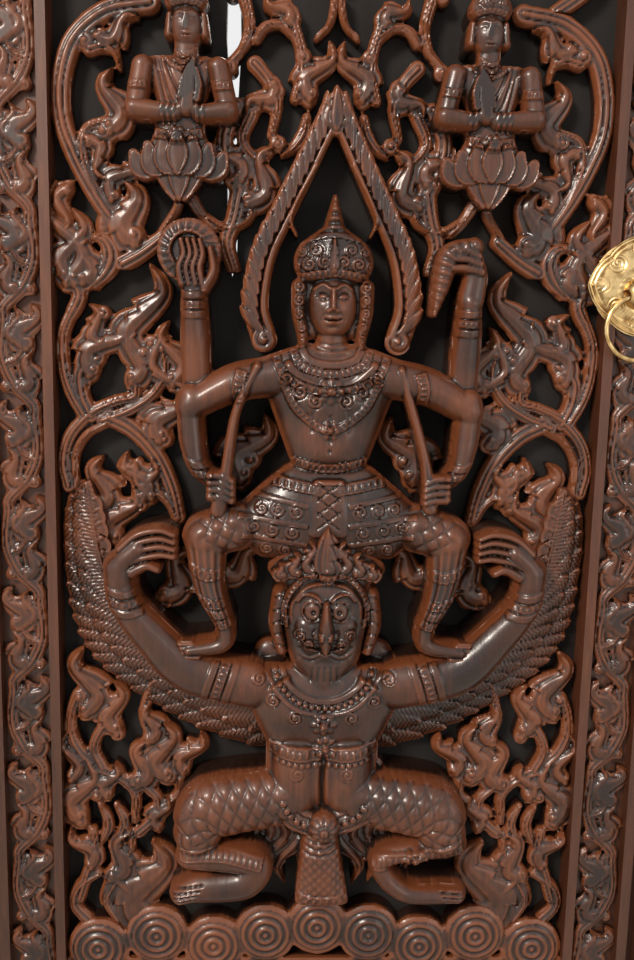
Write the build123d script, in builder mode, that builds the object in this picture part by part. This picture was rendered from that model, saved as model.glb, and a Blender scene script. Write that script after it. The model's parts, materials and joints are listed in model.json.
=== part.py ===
from build123d import *

import os
from math import acos, atan2, cos, hypot, pi, sin

# A carved door leaf hung in its own wooden frame. X runs along the wall, Z is up, and the
# carved face looks towards -Y. The origin is on the underside of the threshold, in the
# middle of the door's width, 32 mm in front of the leaf's back face. All sizes are in mm.

# Driving dimensions: frame and leaf
opening_width = 810
threshold_height = 60
leaf_bottom = 66
leaf_height = 1814
side_gap = 3
jamb_width = 75
head_height = 77
frame_front = -40
leaf_back = 32
stop_gap = 2
stop_cover = 12
stile_front = -8
stile_width = 102
top_rail_height = 100
bottom_rail_height = 224
tenon_length = 45
tenon_thickness = 16
joint_clearance = 0.2
peg_radius = 5

# Driving dimensions: panel
board_front = 7
board_thickness = 15
board_housing = 10
board_edges = (-109, 48, 178)
ledge_height = 80
ledge_centres = (400, 1080, 1640)
nail_radius = 2
nail_head_radius = 5
nail_head_height = 2
bead_front = -25
bead_width = 11
outer_bead_offset = 54.5
outer_bead_width = 12

# Driving dimensions: carving
scroll_front = -20
border_front = -21
form_back = -20.4
wing_front = -30
arch_front = -38
carving_clearance = 0.5

# Driving dimensions: hinges and pull
hinge_heights = (240, 973, 1700)
hinge_length = 90
hinge_plate_width = 45
hinge_plate_thickness = 3
knuckle_radius = 7
knuckle_gap = 0.5
pin_radius = 4
pin_clearance = 0.05
screw_radius = 2.2
screw_head_radius = 4.5
screw_length = 24
fixing_radius = 5
fixing_offset = 15
fixing_heights = (260, 800, 1300, 1800)
plate_x = 331
plate_z = 1160
plate_tip = 54
plate_notch = 46
plate_thickness = 3
dome_height = 6
boss_radius = 17
ring_radius = 34.25
ring_wire = 2.75
ring_axis_y = -38
ring_axis_z = 1148.5

# Sizes that follow from them
leaf_half = opening_width / 2 - side_gap
leaf_top = leaf_bottom + leaf_height
jamb_face = opening_width / 2
frame_half = jamb_face + jamb_width
stop_edge = leaf_half - stop_cover
stop_back = stile_front - stop_gap
head_bottom = leaf_top + side_gap
head_top = head_bottom + head_height
head_stop = head_bottom - side_gap - stop_cover
trim_top = head_stop - side_gap
panel_half = leaf_half - stile_width
panel_bottom = leaf_bottom + bottom_rail_height
panel_top = leaf_top - top_rail_height
board_back = board_front + board_thickness
frame_middle = (frame_front + leaf_back) / 2
outer_bead = panel_half + bead_width + outer_bead_offset
hinge_x = -leaf_half - side_gap / 2
hinge_y = leaf_back + knuckle_radius

os.makedirs("parts", exist_ok=True)


def box_between(x, y, z, mode=Mode.ADD):
    """A box given by its lowest and highest value along each axis."""
    middle = ((x[0] + x[1]) / 2, (y[0] + y[1]) / 2, (z[0] + z[1]) / 2)
    with Locations(middle):
        Box(x[1] - x[0], y[1] - y[0], z[1] - z[0], mode=mode)


def save(part, name):
    """Labels a finished piece and writes it."""
    part.label = name
    export_step(part, "parts/" + name + ".step")


def grown(span, amount):
    """A span made larger at both ends."""
    return (span[0] - amount, span[1] + amount)


def facing(y):
    """The plane at depth y that looks out of the door's front."""
    return Plane.XZ.offset(-y)


def mirrored(items):
    """The same carving on the other side of the door's middle."""
    return [tuple(flip(value) for value in item) for item in items]


def flip(value):
    """Turns a point, or every point of a list, to the other side."""
    if isinstance(value, list):
        return [(-x, z) for x, z in value]
    if isinstance(value, tuple):
        return (-value[0], value[1])
    return value


def sides(points, start, end, swell):
    """Both sides of a band: its middle line moved out by half its width at each point."""
    left = []
    right = []
    last = len(points) - 1
    for index, (x, z) in enumerate(points):
        before = points[max(index - 1, 0)]
        after = points[min(index + 1, last)]
        run = after[0] - before[0]
        rise = after[1] - before[1]
        share = index / last
        width = start + (end - start) * share + swell * sin(pi * share)
        half = width / 2 / hypot(run, rise)
        left.append((x - rise * half, z + run * half))
        right.append((x + rise * half, z - run * half))
    return left, right


def band(points, start, end, swell=0):
    """A stem of the vine: a smooth band through its points, from one width to another."""
    left, right = sides(points, start, end, swell)
    with BuildLine() as outline:
        Spline(*left)
        Line(left[-1], right[-1])
        Spline(*reversed(right))
        Line(right[0], left[0])
    return make_face(outline.edges(), mode=Mode.PRIVATE)


def leaf_outline(base, tip, width):
    """A flame leaf: full near its base, with a waist on each side below a drawn-out tip."""
    run = tip[0] - base[0]
    rise = tip[1] - base[1]
    length = hypot(run, rise)
    along = (run / length, rise / length)
    across = (along[1], -along[0])

    def place(share, offset):
        return (
            base[0] + along[0] * share * length + across[0] * offset * width,
            base[1] + along[1] * share * length + across[1] * offset * width,
        )

    with BuildLine() as outline:
        Spline(place(0, 0.18), place(0.2, 0.48), place(0.42, 0.4), place(0.62, 0.14), place(1, 0.02))
        Line(place(1, 0.02), place(1, -0.02))
        Spline(place(1, -0.02), place(0.7, -0.24), place(0.45, -0.34), place(0.22, -0.5), place(0, -0.18))
        Line(place(0, -0.18), place(0, 0.18))
    return make_face(outline.edges(), mode=Mode.PRIVATE)


def disc(centre, radius):
    """A round end of a curl."""
    return Face(Wire([Edge.make_circle(radius, Plane((centre[0], centre[1], 0)))]))


def wrapped_pair(first, second, clearance):
    """The outline of a band drawn tight round two circles: two tangent lines and two arcs."""
    (x1, z1, r1), (x2, z2, r2) = first, second
    r1 += clearance
    r2 += clearance
    span = hypot(x2 - x1, z2 - z1)
    if span <= abs(r1 - r2) + 0.1:
        return disc((x1, z1), r1) if r1 > r2 else disc((x2, z2), r2)
    heading = atan2(z2 - z1, x2 - x1)
    lean = acos((r1 - r2) / span)

    def on(x, z, radius, angle):
        return (x + radius * cos(angle), z + radius * sin(angle))

    with BuildLine() as outline:
        Line(on(x1, z1, r1, heading + lean), on(x2, z2, r2, heading + lean))
        ThreePointArc(on(x2, z2, r2, heading + lean), on(x2, z2, r2, heading),
                      on(x2, z2, r2, heading - lean))
        Line(on(x2, z2, r2, heading - lean), on(x1, z1, r1, heading - lean))
        ThreePointArc(
            on(x1, z1, r1, heading - lean), on(x1, z1, r1, heading + pi), on(x1, z1, r1, heading + lean)
        )
    return make_face(outline.edges(), mode=Mode.PRIVATE)


def rounded(*circles, clearance=0):
    """The outline round a few circles listed in order about their middle: a band round each
    neighbouring pair, and the area between their centres."""
    ring = circles if len(circles) == 2 else circles + circles[:1]
    pairs = list(zip(ring, ring[1:]))
    faces = [wrapped_pair(*pair, clearance) for pair in pairs]
    area = sum(near[0] * far[1] - far[0] * near[1] for near, far in pairs) / 2
    if len(circles) > 2 and abs(area) > 1:
        with BuildLine() as middle:
            Polyline(*[(x, z) for x, z, _ in circles], close=True)
        faces.append(make_face(middle.edges(), mode=Mode.PRIVATE))
    return faces


def chain(*circles):
    """Each circle paired with the next, for a limb that bends."""
    return list(zip(circles, circles[1:]))


def level_faces(forms, level, clearance=0):
    """What a figure shows in one slice of its depth. Behind its middle a form keeps its full
    outline, and in front of it each form narrows as an ellipse does."""
    middle = (level_depths[level] + level_depths[level + 1]) / 2
    faces = []
    for groups, depth, reach in forms:
        ahead = max(depth - middle, 0) / reach
        if ahead < 1:
            scale = (1 - ahead**2) ** 0.5
            for group in groups:
                circles = [(x, z, radius * scale) for x, z, radius in group]
                faces += rounded(*circles, clearance=clearance)
    return faces


def figure_slices(forms, root, clearance=0):
    """A figure's outlines from back to front, the timber behind it first."""
    return [root] + [level_faces(forms, level, clearance) for level in range(len(level_depths) - 1)]


def carved_figure(slices, neighbours):
    """Stacks a figure's slices. Each neighbour is a list of faces for every slice that this
    figure leaves free."""
    depths = (board_front,) + level_depths
    for number, faces in enumerate(slices):
        if faces:
            with BuildSketch(facing(depths[number])) as outline:
                add(faces)
                for neighbour in neighbours:
                    for face in neighbour[number]:
                        add(face, mode=Mode.SUBTRACT)
            extrude(outline.sketch.faces(), amount=depths[number] - depths[number + 1])


# Carved outlines, chosen by eye: (x, z) points on the panel, for the left half
stems_top = [
    ([(-195, 1437), (-240, 1428), (-274, 1400), (-288, 1360), (-288, 1320), (-276, 1285),
      (-258, 1250), (-236, 1218), (-212, 1192)], 18, 16),
    ([(-243, 1318), (-262, 1310), (-268, 1288), (-261, 1262), (-246, 1232), (-226, 1206)], 10, 14),
    ([(-258, 1390), (-243, 1393), (-231, 1386), (-226, 1369)], 14, 3),
    ([(-226, 1172), (-205, 1184), (-180, 1203)], 18, 14),
    ([(-163, 1246), (-168, 1230), (-182, 1208)], 8, 8),
    ([(-135, 1222), (-120, 1213), (-104, 1213), (-90, 1222), (-86, 1240)], 8, 9),
    ([(-152, 1242), (-142, 1226), (-128, 1210)], 12, 8),
    ([(-52, 1437), (-46, 1420), (-38, 1395), (-37, 1370), (-43, 1346)], 12, 10),
    ([(-85, 1404), (-75, 1417), (-60, 1420), (-46, 1410)], 9, 9),
    ([(-86, 1380), (-72, 1364), (-62, 1340), (-68, 1308)], 15, 8),
    ([(-30, 1328), (-34, 1310), (-44, 1296), (-56, 1287)], 9, 3, 6),
    ([(-2, 1450), (-8, 1422), (-22, 1406)], 9, 5),
]
leaves_top = [
    ((-238, 1308), (-234, 1371), 24),
    ((-212, 1196), (-221, 1256), 36),
    ((-92, 1238), (-64, 1297), 22),
    ((-27, 1346), (-8, 1404), 20),
    ((-100, 1262), (-128, 1300), 22),
]
curls_top = [((-262, 1397), 9), ((-244, 1308), 9), ((-93, 1243), 8), ((-35, 1388), 7)]

stems_middle = [
    ([(-255, 1199), (-243, 1194), (-238, 1178), (-246, 1160), (-262, 1144)], 8, 3, 14),
    ([(-296, 1158), (-282, 1153), (-273, 1138), (-280, 1120)], 5, 14, 4),
    ([(-280, 1122), (-291, 1095), (-291, 1062), (-284, 1034), (-270, 1008)], 12, 12),
    ([(-262, 1006), (-272, 1030), (-272, 1055), (-254, 1070)], 14, 16),
    ([(-288, 928), (-293, 955), (-285, 985), (-262, 1010), (-236, 1023), (-214, 1030),
      (-214, 1050)], 14, 10),
    ([(-250, 1002), (-220, 1014), (-195, 1031), (-181, 1055), (-184, 1079), (-196, 1090)], 14, 8),
    ([(-242, 1006), (-215, 991), (-190, 963), (-174, 928), (-166, 893)], 18, 14),
    ([(-243, 1000), (-268, 985), (-281, 960), (-280, 928)], 9, 9),
    ([(-268, 926), (-262, 902), (-251, 884), (-243, 866)], 12, 17),
    ([(-206, 912), (-192, 921), (-178, 911), (-168, 890)], 11, 9),
    ([(-178, 788), (-168, 806), (-143, 811), (-126, 800)], 9, 9),
]
leaves_middle = [
    ((-286, 1150), (-294, 1256), 24),
    ((-277, 1150), (-278, 1228), 26),
    ((-268, 1152), (-263, 1196), 24),
    ((-262, 1052), (-222, 1119), 24),
    ((-217, 1046), (-212, 1098), 24),
    ((-204, 1066), (-196, 1172), 28),
    ((-172, 1044), (-176, 1112), 22),
    ((-186, 983), (-166, 1036), 30),
    ((-258, 903), (-250, 962), 26),
    ((-238, 866), (-216, 930), 26),
    ((-206, 914), (-222, 968), 22),
    ((-196, 916), (-196, 960), 18),
    ((-184, 802), (-152, 858), 26),
]
curls_middle = [((-195, 1087), 9), ((-181, 983), 10), ((-247, 1118), 8)]

stems_low = [
    ([(-268, 600), (-283, 616), (-292, 640), (-290, 665), (-283, 684)], 13, 10),
    ([(-255, 593), (-265, 617), (-257, 640), (-243, 656)], 11, 10),
    ([(-190, 545), (-168, 560), (-165, 580)], 11, 9),
    ([(-214, 512), (-196, 530), (-190, 553), (-206, 572)], 12, 10),
    ([(-264, 592), (-235, 581), (-217, 560), (-218, 528)], 15, 8),
    ([(-285, 428), (-275, 460), (-265, 488), (-268, 514)], 12, 10),
    ([(-258, 547), (-249, 524), (-258, 498)], 6, 4, 7),
    ([(-240, 548), (-230, 525), (-240, 500)], 6, 4, 7),
    ([(-272, 394), (-291, 419), (-285, 443), (-262, 460)], 13, 9),
    ([(-240, 400), (-252, 425), (-240, 452)], 10, 10),
    ([(-198, 700), (-208, 660), (-200, 632)], 8, 8),
]
leaves_low = [
    ((-274, 662), (-275, 741), 24),
    ((-238, 640), (-240, 692), 20),
    ((-202, 628), (-198, 668), 18),
    ((-180, 583), (-183, 651), 26),
    ((-214, 575), (-205, 628), 26),
    ((-282, 528), (-272, 603), 26),
    ((-247, 455), (-225, 509), 24),
    ((-205, 396), (-196, 499), 48),
]
curls_low = [
    ((-280, 682), 9), ((-237, 636), 8), ((-177, 584), 9), ((-218, 576), 9),
    ((-281, 527), 8), ((-245, 458), 9), ((-205, 398), 13),
]

stems_crown = [
    ([(0, 1470), (-30, 1500), (-40, 1540), (-22, 1580), (0, 1600)], 14, 12),
    ([(-230, 1440), (-268, 1470), (-284, 1515), (-270, 1560), (-232, 1584), (-195, 1572)], 15, 10),
    ([(-110, 1450), (-92, 1490), (-100, 1530), (-132, 1552), (-160, 1540)], 13, 8),
    ([(-286, 1520), (-290, 1580), (-272, 1640), (-230, 1668), (-186, 1652)], 13, 10),
    ([(-10, 1600), (-60, 1610), (-104, 1640), (-118, 1690), (-96, 1732), (-60, 1738)], 14, 9),
    ([(-284, 1610), (-292, 1670), (-270, 1722), (-226, 1744), (-184, 1728)], 13, 9),
]
leaves_crown = [
    ((-4, 1596), (0, 1700), 40),
    ((-206, 1560), (-222, 1520), 26),
    ((-62, 1500), (-66, 1580), 30),
    ((-150, 1560), (-160, 1630), 32),
    ((-200, 1640), (-220, 1600), 24),
    ((-70, 1716), (-66, 1668), 26),
    ((-160, 1660), (-150, 1726), 30),
    ((-200, 1716), (-214, 1688), 22),
    ((-246, 1480), (-240, 1540), 22),
]
curls_crown = [
    ((-194, 1566), 10), ((-160, 1534), 9), ((-186, 1645), 10), ((-60, 1732), 10), ((-184, 1722), 9),
]

arch_line = [(-74, 1100), (-81, 1125), (-79, 1155), (-71, 1188), (-55, 1222), (-31, 1270),
             (-9, 1315), (0, 1337)]
arch_foot = (-72, 1094)
arch_foot_radius = 14
arch_width = 20
arch_tip_width = 14

wing_outer = [(-266, 931), (-284, 915), (-291, 880), (-290, 830), (-285, 785), (-272, 748),
              (-250, 718), (-215, 690), (-175, 664), (-130, 641), (-60, 618)]
wing_inner = [(-266, 931), (-263, 912), (-258, 885), (-252, 850), (-240, 815), (-222, 782),
              (-200, 754), (-172, 728), (-142, 708), (-108, 692), (-60, 670)]
tier_shares = (0, 0.28, 0.56)
tier_step = 3

plinth_top = 352
cloud_places = [(-262, 366), (-192, 384), (-124, 370), (-62, 386), (0, 396),
                (62, 386), (124, 370), (192, 384), (262, 366)]
cloud_radius = 36
cloud_steps = (0.9, 0.64, 0.36)
cloud_step_height = 3

# Depths at which the figures are sliced: the flat back, the wings' front, the arch's front, then even
level_step = 8
level_count = 6
level_depths = (form_back, wing_front) + tuple(
    arch_front - level_step * number for number in range(level_count + 1)
)


def both(*circles):
    """Circles with their mirror images, as one group. A circle on the middle line is kept once."""
    return [(-x, z, radius) for x, z, radius in circles if x] + list(reversed(circles))


def both_chains(*circles):
    """A limb and its mirror image."""
    return [
        [(turn * x, z, radius) for x, z, radius in pair] for turn in (-1, 1) for pair in chain(*circles)
    ]


# Figures as groups of circles (x, z, radius), the depth of their middle and how far they reach forward
guardian_forms = [
    ([both((66, 708, 26), (44, 652, 22))], -36, 30),
    ([both((44, 650, 20), (38, 600, 18), (42, 566, 20))], -34, 32),
    (both_chains((84, 712, 28), (150, 728, 27), (190, 766, 23), (220, 806, 19), (227, 845, 18),
                 (210, 872, 13), (186, 882, 10), (164, 880, 8)), -42, 28),
    (both_chains((46, 574, 34), (126, 558, 38), (142, 530, 28)), -34, 36),
    (chain((-150, 502, 18), (-78, 496, 21), (-86, 468, 22), (-140, 464, 20), (-162, 456, 13)), -38, 26),
    (chain((158, 518, 14), (72, 500, 13), (98, 458, 13), (162, 454, 12)), -36, 22),
    (chain((-66, 604, 9), (-48, 568, 10), (-22, 550, 10), (8, 546, 10), (40, 558, 10), (64, 578, 10),
           (76, 602, 9)), -60, 14),
    ([[(3, 549, 19)]], -60, 20),
    ([[(-22, 448, 6), (28, 448, 6), (0, 526, 10)]], -42, 18),
    (both_chains((68, 730, 14), (42, 692, 14), (0, 677, 14)), -56, 18),
    ([[(-24, 742, 14), (0, 716, 16), (24, 742, 14)]], -40, 28),
    ([both((30, 744, 10), (38, 800, 12), (36, 836, 14))], -44, 40),
    ([[(0, 778, 15), (0, 758, 8)]], -72, 16),
    (both_chains((49, 814, 11), (54, 782, 9), (48, 752, 7)), -38, 18),
    ([both((0, 888, 14), (54, 850, 10), (50, 832, 10))], -42, 34),
    ([[(0, 898, 11)]], -42, 20),
]

rider_forms = [
    ([both((52, 1054, 20), (34, 1000, 20), (24, 962, 15))], -36, 30),
    ([both((36, 940, 22), (78, 898, 26), (66, 874, 18))], -36, 34),
    ([[(0, 1070, 20), (0, 1096, 17)]], -42, 22),
    ([[(-8, 1140, 23), (0, 1108, 19), (8, 1140, 23), (0, 1156, 30)]], -46, 30),
    ([[(-16, 1172, 29), (16, 1172, 29), (0, 1190, 24)]], -42, 32),
    ([[(0, 1204, 15), (0, 1216, 10), (0, 1240, 3)]], -42, 20),
    (both_chains((35, 1142, 8), (34, 1104, 7), (32, 1086, 5)), -40, 16),
    (both_chains((58, 1054, 19), (108, 1043, 19), (144, 1028, 17)), -40, 22),
    (both_chains((144, 1030, 17), (145, 1092, 16), (146, 1135, 14)), -46, 20),
    (both_chains((144, 1026, 15), (142, 962, 13), (116, 938, 14)), -38, 20),
    (both_chains((100, 892, 27), (133, 882, 25), (128, 826, 17), (110, 782, 12), (112, 760, 12),
                 (150, 755, 9)), -44, 28),
    ([[(-151, 1184, 33)]], -46, 18),
    (chain((146, 1135, 14), (148, 1168, 13), (140, 1192, 13), (120, 1182, 13), (112, 1148, 9),
           (106, 1122, 4)), -48, 18),
    (chain((-78, 1066, 5), (-100, 1018, 5), (-110, 955, 6), (-118, 912, 9)), -60, 10),
    (chain((74, 1064, 5), (102, 972, 5), (110, 916, 8)), -58, 10),
    ([both((12, 866, 6), (14, 942, 6))], -64, 12),
    (both_chains((44, 1066, 8), (24, 1048, 8), (0, 1042, 10)), -58, 12),
]


def attendant_forms(side):
    """One attendant, on either side of the arch."""
    sketch = [
        ([[(196, 1366, 13), (128, 1366, 13), (144, 1308, 11), (182, 1308, 11)]], -34, 18),
        ([[(182, 1300, 10), (142, 1300, 10), (122, 1276, 14), (202, 1276, 14)]], -36, 16),
        ([[(190, 1270, 10), (134, 1270, 10), (162, 1240, 7)]], -34, 14),
        ([[(155, 1378, 12), (155, 1396, 12)]], -36, 14),
        ([[(155, 1396, 12), (152, 1414, 15), (158, 1414, 15)]], -38, 18),
        ([[(148, 1432, 16), (162, 1432, 16), (155, 1444, 14)], [(155, 1444, 13), (155, 1486, 2)]], -36, 18),
        (chain((205, 1366, 12), (204, 1322, 11), (160, 1316, 10), (137, 1362, 6)), -42, 16),
        (chain((120, 1366, 12), (112, 1322, 11), (150, 1314, 9)), -40, 14),
        ([[(164, 1281, 12)]], -48, 10),
    ]
    if side > 0:
        return sketch
    return [
        ([[(-x, z, radius) for x, z, radius in group] for group in groups], depth, reach)
        for groups, depth, reach in sketch
    ]


def vine_faces(stems, leaves, curls):
    """Every outline of one stretch of scrollwork."""
    faces = [band(*stem) for stem in stems]
    faces += [leaf_outline(*leaf) for leaf in leaves]
    faces += [disc(*curl) for curl in curls]
    return faces


def arch_faces(clearance=0):
    """The pointed flame frame: two tapering bands that meet at the tip, and a curl at each foot."""
    faces = []
    for line, foot in ((arch_line, arch_foot), (flip(arch_line), flip(arch_foot))):
        faces.append(band(line, arch_width + 2 * clearance, arch_tip_width + 2 * clearance))
        faces.append(disc(foot, arch_foot_radius + clearance))
    faces += [disc(arch_line[-1], arch_tip_width / 2 + clearance)]
    return faces


def wing_face(side, share=0, clearance=0):
    """A wing: a crescent from below the chest round to the raised hand. The share says how far
    its rim is drawn in towards the arm."""
    drawn_in = [
        (x + share * (near_x - x), z + share * (near_z - z))
        for (x, z), (near_x, near_z) in zip(wing_outer, wing_inner)
    ]
    rim = sides(drawn_in, 2 * clearance, 2 * clearance, 0)[1]
    arm = sides(wing_inner, 2 * clearance, 2 * clearance, 0)[0]
    if side > 0:
        rim = flip(rim)
        arm = flip(arm)
    with BuildLine() as outline:
        Spline(*rim)
        Line(rim[-1], arm[-1])
        Spline(*reversed(arm))
        if clearance:
            Line(arm[0], rim[0])
    return make_face(outline.edges(), mode=Mode.PRIVATE)


def cloud_faces(clearance=0):
    """The cloud band's outline: a plinth the panel's full width, and a round scroll at each place."""
    faces = []
    with BuildSketch() as plinth:
        with Locations((0, (panel_bottom + plinth_top) / 2)):
            Rectangle(2 * panel_half, plinth_top - panel_bottom + 2 * clearance)
    faces += plinth.sketch.faces()
    faces += [disc(place, cloud_radius + clearance) for place in cloud_places]
    return faces


def rider_root(clearance=0):
    """Where the standing figure's timber runs back to the boards."""
    parts = [
        both((52, 1058, 16), (30, 960, 10)),
        both((30, 950, 20), (88, 900, 22), (40, 870, 20)),
        [(-86, 890, 16), (-128, 885, 18), (-122, 800, 10)],
        [(86, 890, 16), (124, 885, 18), (110, 800, 10)],
        [(0, 1168, 30), (0, 1120, 22), (0, 1070, 16)],
    ]
    return [face for part in parts for face in rounded(*part, clearance=clearance)]


def guardian_root(clearance=0):
    """Where the winged bearer's timber runs back to the boards."""
    parts = [
        both((0, 880, 8), (45, 850, 10), (38, 750, 10)),
        both((78, 712, 18), (38, 600, 14)),
        [(-40, 585, 20), (-138, 555, 24), (-140, 528, 22), (-30, 545, 14)],
        [(40, 585, 20), (138, 552, 22), (134, 530, 18), (30, 545, 14)],
        [(0, 530, 12), (-18, 452, 6), (24, 452, 6)],
        [(-80, 500, 16), (-140, 465, 18), (-86, 464, 15)],
        [(72, 498, 9), (100, 456, 12), (150, 460, 14)],
    ]
    return [face for part in parts for face in rounded(*part, clearance=clearance)]


def attendant_root(side, clearance=0):
    """Where an attendant's timber runs back to the boards."""
    parts = [
        [(side * 196, 1368, 12), (side * 130, 1368, 12), (side * 142, 1300, 12), (side * 182, 1300, 12)],
        [(side * 205, 1278, 12), (side * 122, 1276, 12), (side * 166, 1256, 12)],
        [(side * 159, 1430, 14), (side * 159, 1400, 12)],
    ]
    return [face for part in parts for face in rounded(*part, clearance=clearance)]


figure_roots = (
    rider_root(carving_clearance)
    + guardian_root(carving_clearance)
    + attendant_root(-1, carving_clearance)
    + attendant_root(1, carving_clearance)
    + arch_faces(carving_clearance)
    + [wing_face(-1, 0, carving_clearance), wing_face(1, 0, carving_clearance)]
    + cloud_faces(carving_clearance)
)

# Frame: threshold, jambs and head, joined by hidden tenons
tenon_y = grown((frame_middle, frame_middle), tenon_thickness / 2)
tenon_x = grown((jamb_face + jamb_width / 2, jamb_face + jamb_width / 2), jamb_width / 4)
tenon_depth = threshold_height / 2
frame_sides = (-1, 1)


def jamb_tenon(side, z, clearance=0, mode=Mode.ADD):
    """One tenon of a jamb, or with a clearance the mortise for it."""
    span = grown(tenon_x, clearance)
    x = (side * span[0], side * span[1])
    box_between((min(x), max(x)), grown(tenon_y, clearance), z, mode)


def frame_pegs_at(side, z):
    """The peg that locks a tenon, driven in from the frame's back."""
    with Locations(Plane((side * (jamb_face + jamb_width / 2), leaf_back, z), z_dir=(0, -1, 0))):
        Cylinder(peg_radius, leaf_back - frame_middle + tenon_thickness,
                 align=(Align.CENTER, Align.CENTER, Align.MIN))


with BuildPart() as frame_pegs:
    for side in frame_sides:
        frame_pegs_at(side, threshold_height - tenon_depth / 2)
        frame_pegs_at(side, head_bottom + tenon_depth / 2)
save(frame_pegs.part, "frame_pegs")

with BuildPart() as frame_threshold:
    box_between((-frame_half, frame_half), (frame_front, leaf_back), (0, threshold_height))
    for side in frame_sides:
        jamb_tenon(side, (threshold_height - tenon_depth - joint_clearance, threshold_height),
                   joint_clearance, Mode.SUBTRACT)
    add(frame_pegs.part, mode=Mode.SUBTRACT)
save(frame_threshold.part, "frame_threshold")

with BuildPart() as frame_head:
    box_between((-frame_half, frame_half), (frame_front, leaf_back), (head_bottom, head_top))
    box_between((-stop_edge, stop_edge), (frame_front, stop_back),
                (head_stop, head_bottom))
    for side in frame_sides:
        jamb_tenon(side, (head_bottom, head_bottom + tenon_depth + joint_clearance),
                   joint_clearance, Mode.SUBTRACT)
    add(frame_pegs.part, mode=Mode.SUBTRACT)
save(frame_head.part, "frame_head")


def screw(place, direction):
    """A countersunk wood screw with its head flush at the given place."""
    head_height = screw_head_radius - screw_radius
    with Locations(Plane(place, z_dir=direction)):
        Cone(screw_head_radius, screw_radius, head_height, align=(Align.CENTER, Align.CENTER, Align.MIN))
        Cylinder(screw_radius, screw_length, align=(Align.CENTER, Align.CENTER, Align.MIN))


screw_y = leaf_back + hinge_plate_thickness
screw_inset = knuckle_radius + hinge_plate_width / 2
screw_steps = (-hinge_length / 3, 0, hinge_length / 3)


def hinge_screws(side):
    """Three screws in each of the three plates on one side of the pins."""
    for height in hinge_heights:
        for step in screw_steps:
            stagger = hinge_plate_width / 5 * (1 if step else -1)
            screw((hinge_x + side * (screw_inset + stagger), screw_y, height + step), (0, -1, 0))


with BuildPart() as hinge_screws_frame:
    hinge_screws(-1)
save(hinge_screws_frame.part, "hinge_screws_frame")

with BuildPart() as hinge_screws_leaf:
    hinge_screws(1)
save(hinge_screws_leaf.part, "hinge_screws_leaf")

for side, name in ((-1, "frame_jamb_left"), (1, "frame_jamb_right")):
    with BuildPart() as jamb:
        body = (side * jamb_face, side * frame_half)
        stop = (side * stop_edge, side * jamb_face)
        box_between((min(body), max(body)), (frame_front, leaf_back), (threshold_height, head_bottom))
        box_between((min(stop), max(stop)), (frame_front, stop_back), (threshold_height, head_bottom))
        jamb_tenon(side, (threshold_height - tenon_depth, threshold_height))
        jamb_tenon(side, (head_bottom, head_bottom + tenon_depth))
        for height in fixing_heights:
            with Locations(Plane((side * frame_half, frame_middle + fixing_offset, height),
                                 z_dir=(side, 0, 0))):
                Cylinder(fixing_radius, 3 * jamb_width, mode=Mode.SUBTRACT)
        add(frame_pegs.part, mode=Mode.SUBTRACT)
        add(hinge_screws_frame.part, mode=Mode.SUBTRACT)
    save(jamb.part, name)

# Hinges: two outer knuckles on the frame's plate, one between them on the leaf's
middle_knuckle = hinge_length * 0.4
outer_knuckle = (hinge_length - middle_knuckle) / 2 - knuckle_gap
plate_start = knuckle_radius + 2 * knuckle_gap
hinge_names = ("bottom", "middle", "top")


def hinge_plate(side, height, knuckles, screws):
    """A flat plate with its share of the knuckles, bored for the pin."""
    plate_x_span = (hinge_x + side * plate_start, hinge_x + side * (plate_start + hinge_plate_width))
    plate_y = (leaf_back, leaf_back + hinge_plate_thickness)
    box_between((min(plate_x_span), max(plate_x_span)), plate_y, grown((height, height), hinge_length / 2))
    for low, high in knuckles:
        link = (hinge_x, hinge_x + side * plate_start)
        box_between((min(link), max(link)), plate_y, (height + low, height + high))
        with Locations((hinge_x, hinge_y, height + low)):
            Cylinder(knuckle_radius, high - low, align=(Align.CENTER, Align.CENTER, Align.MIN))
    with Locations((hinge_x, hinge_y, height)):
        Cylinder(pin_radius + pin_clearance, 2 * hinge_length, mode=Mode.SUBTRACT)
    add(screws, mode=Mode.SUBTRACT)


frame_knuckles = (
    (-hinge_length / 2, -hinge_length / 2 + outer_knuckle),
    (hinge_length / 2 - outer_knuckle, hinge_length / 2),
)
leaf_knuckles = ((-middle_knuckle / 2, middle_knuckle / 2),)
pin_head_radius = pin_radius + 2
pin_head_height = 3

for height, name in zip(hinge_heights, hinge_names):
    with BuildPart() as hinge_frame:
        hinge_plate(-1, height, frame_knuckles, hinge_screws_frame.part)
    save(hinge_frame.part, "hinge_frame_" + name)
    with BuildPart() as hinge_leaf:
        hinge_plate(1, height, leaf_knuckles, hinge_screws_leaf.part)
    save(hinge_leaf.part, "hinge_leaf_" + name)
    with BuildPart() as hinge_pin:
        with Locations((hinge_x, hinge_y, height - hinge_length / 2)):
            Cylinder(pin_radius, hinge_length, align=(Align.CENTER, Align.CENTER, Align.MIN))
        with Locations((hinge_x, hinge_y, height + hinge_length / 2)):
            Cylinder(pin_head_radius, pin_head_height, align=(Align.CENTER, Align.CENTER, Align.MIN))
    save(hinge_pin.part, "hinge_pin_" + name)

# Leaf carcass: stiles and rails with pegged tenons
rail_tenon_y = (stile_front + 6, stile_front + 6 + tenon_thickness)
rail_tenon_inset = 24
rail_peg_shares = (0.35, 0.65)
rail_spans = ((leaf_bottom, panel_bottom), (panel_top, leaf_top))


def rail_tenons(rail, clearance=0, mode=Mode.ADD):
    """The tenon at each end of a rail, or with a clearance the mortises for them."""
    z = grown((rail[0] + rail_tenon_inset, rail[1] - rail_tenon_inset), clearance)
    length = panel_half + tenon_length + clearance
    box_between((-length, -panel_half), grown(rail_tenon_y, clearance), z, mode)
    box_between((panel_half, length), grown(rail_tenon_y, clearance), z, mode)


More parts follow.
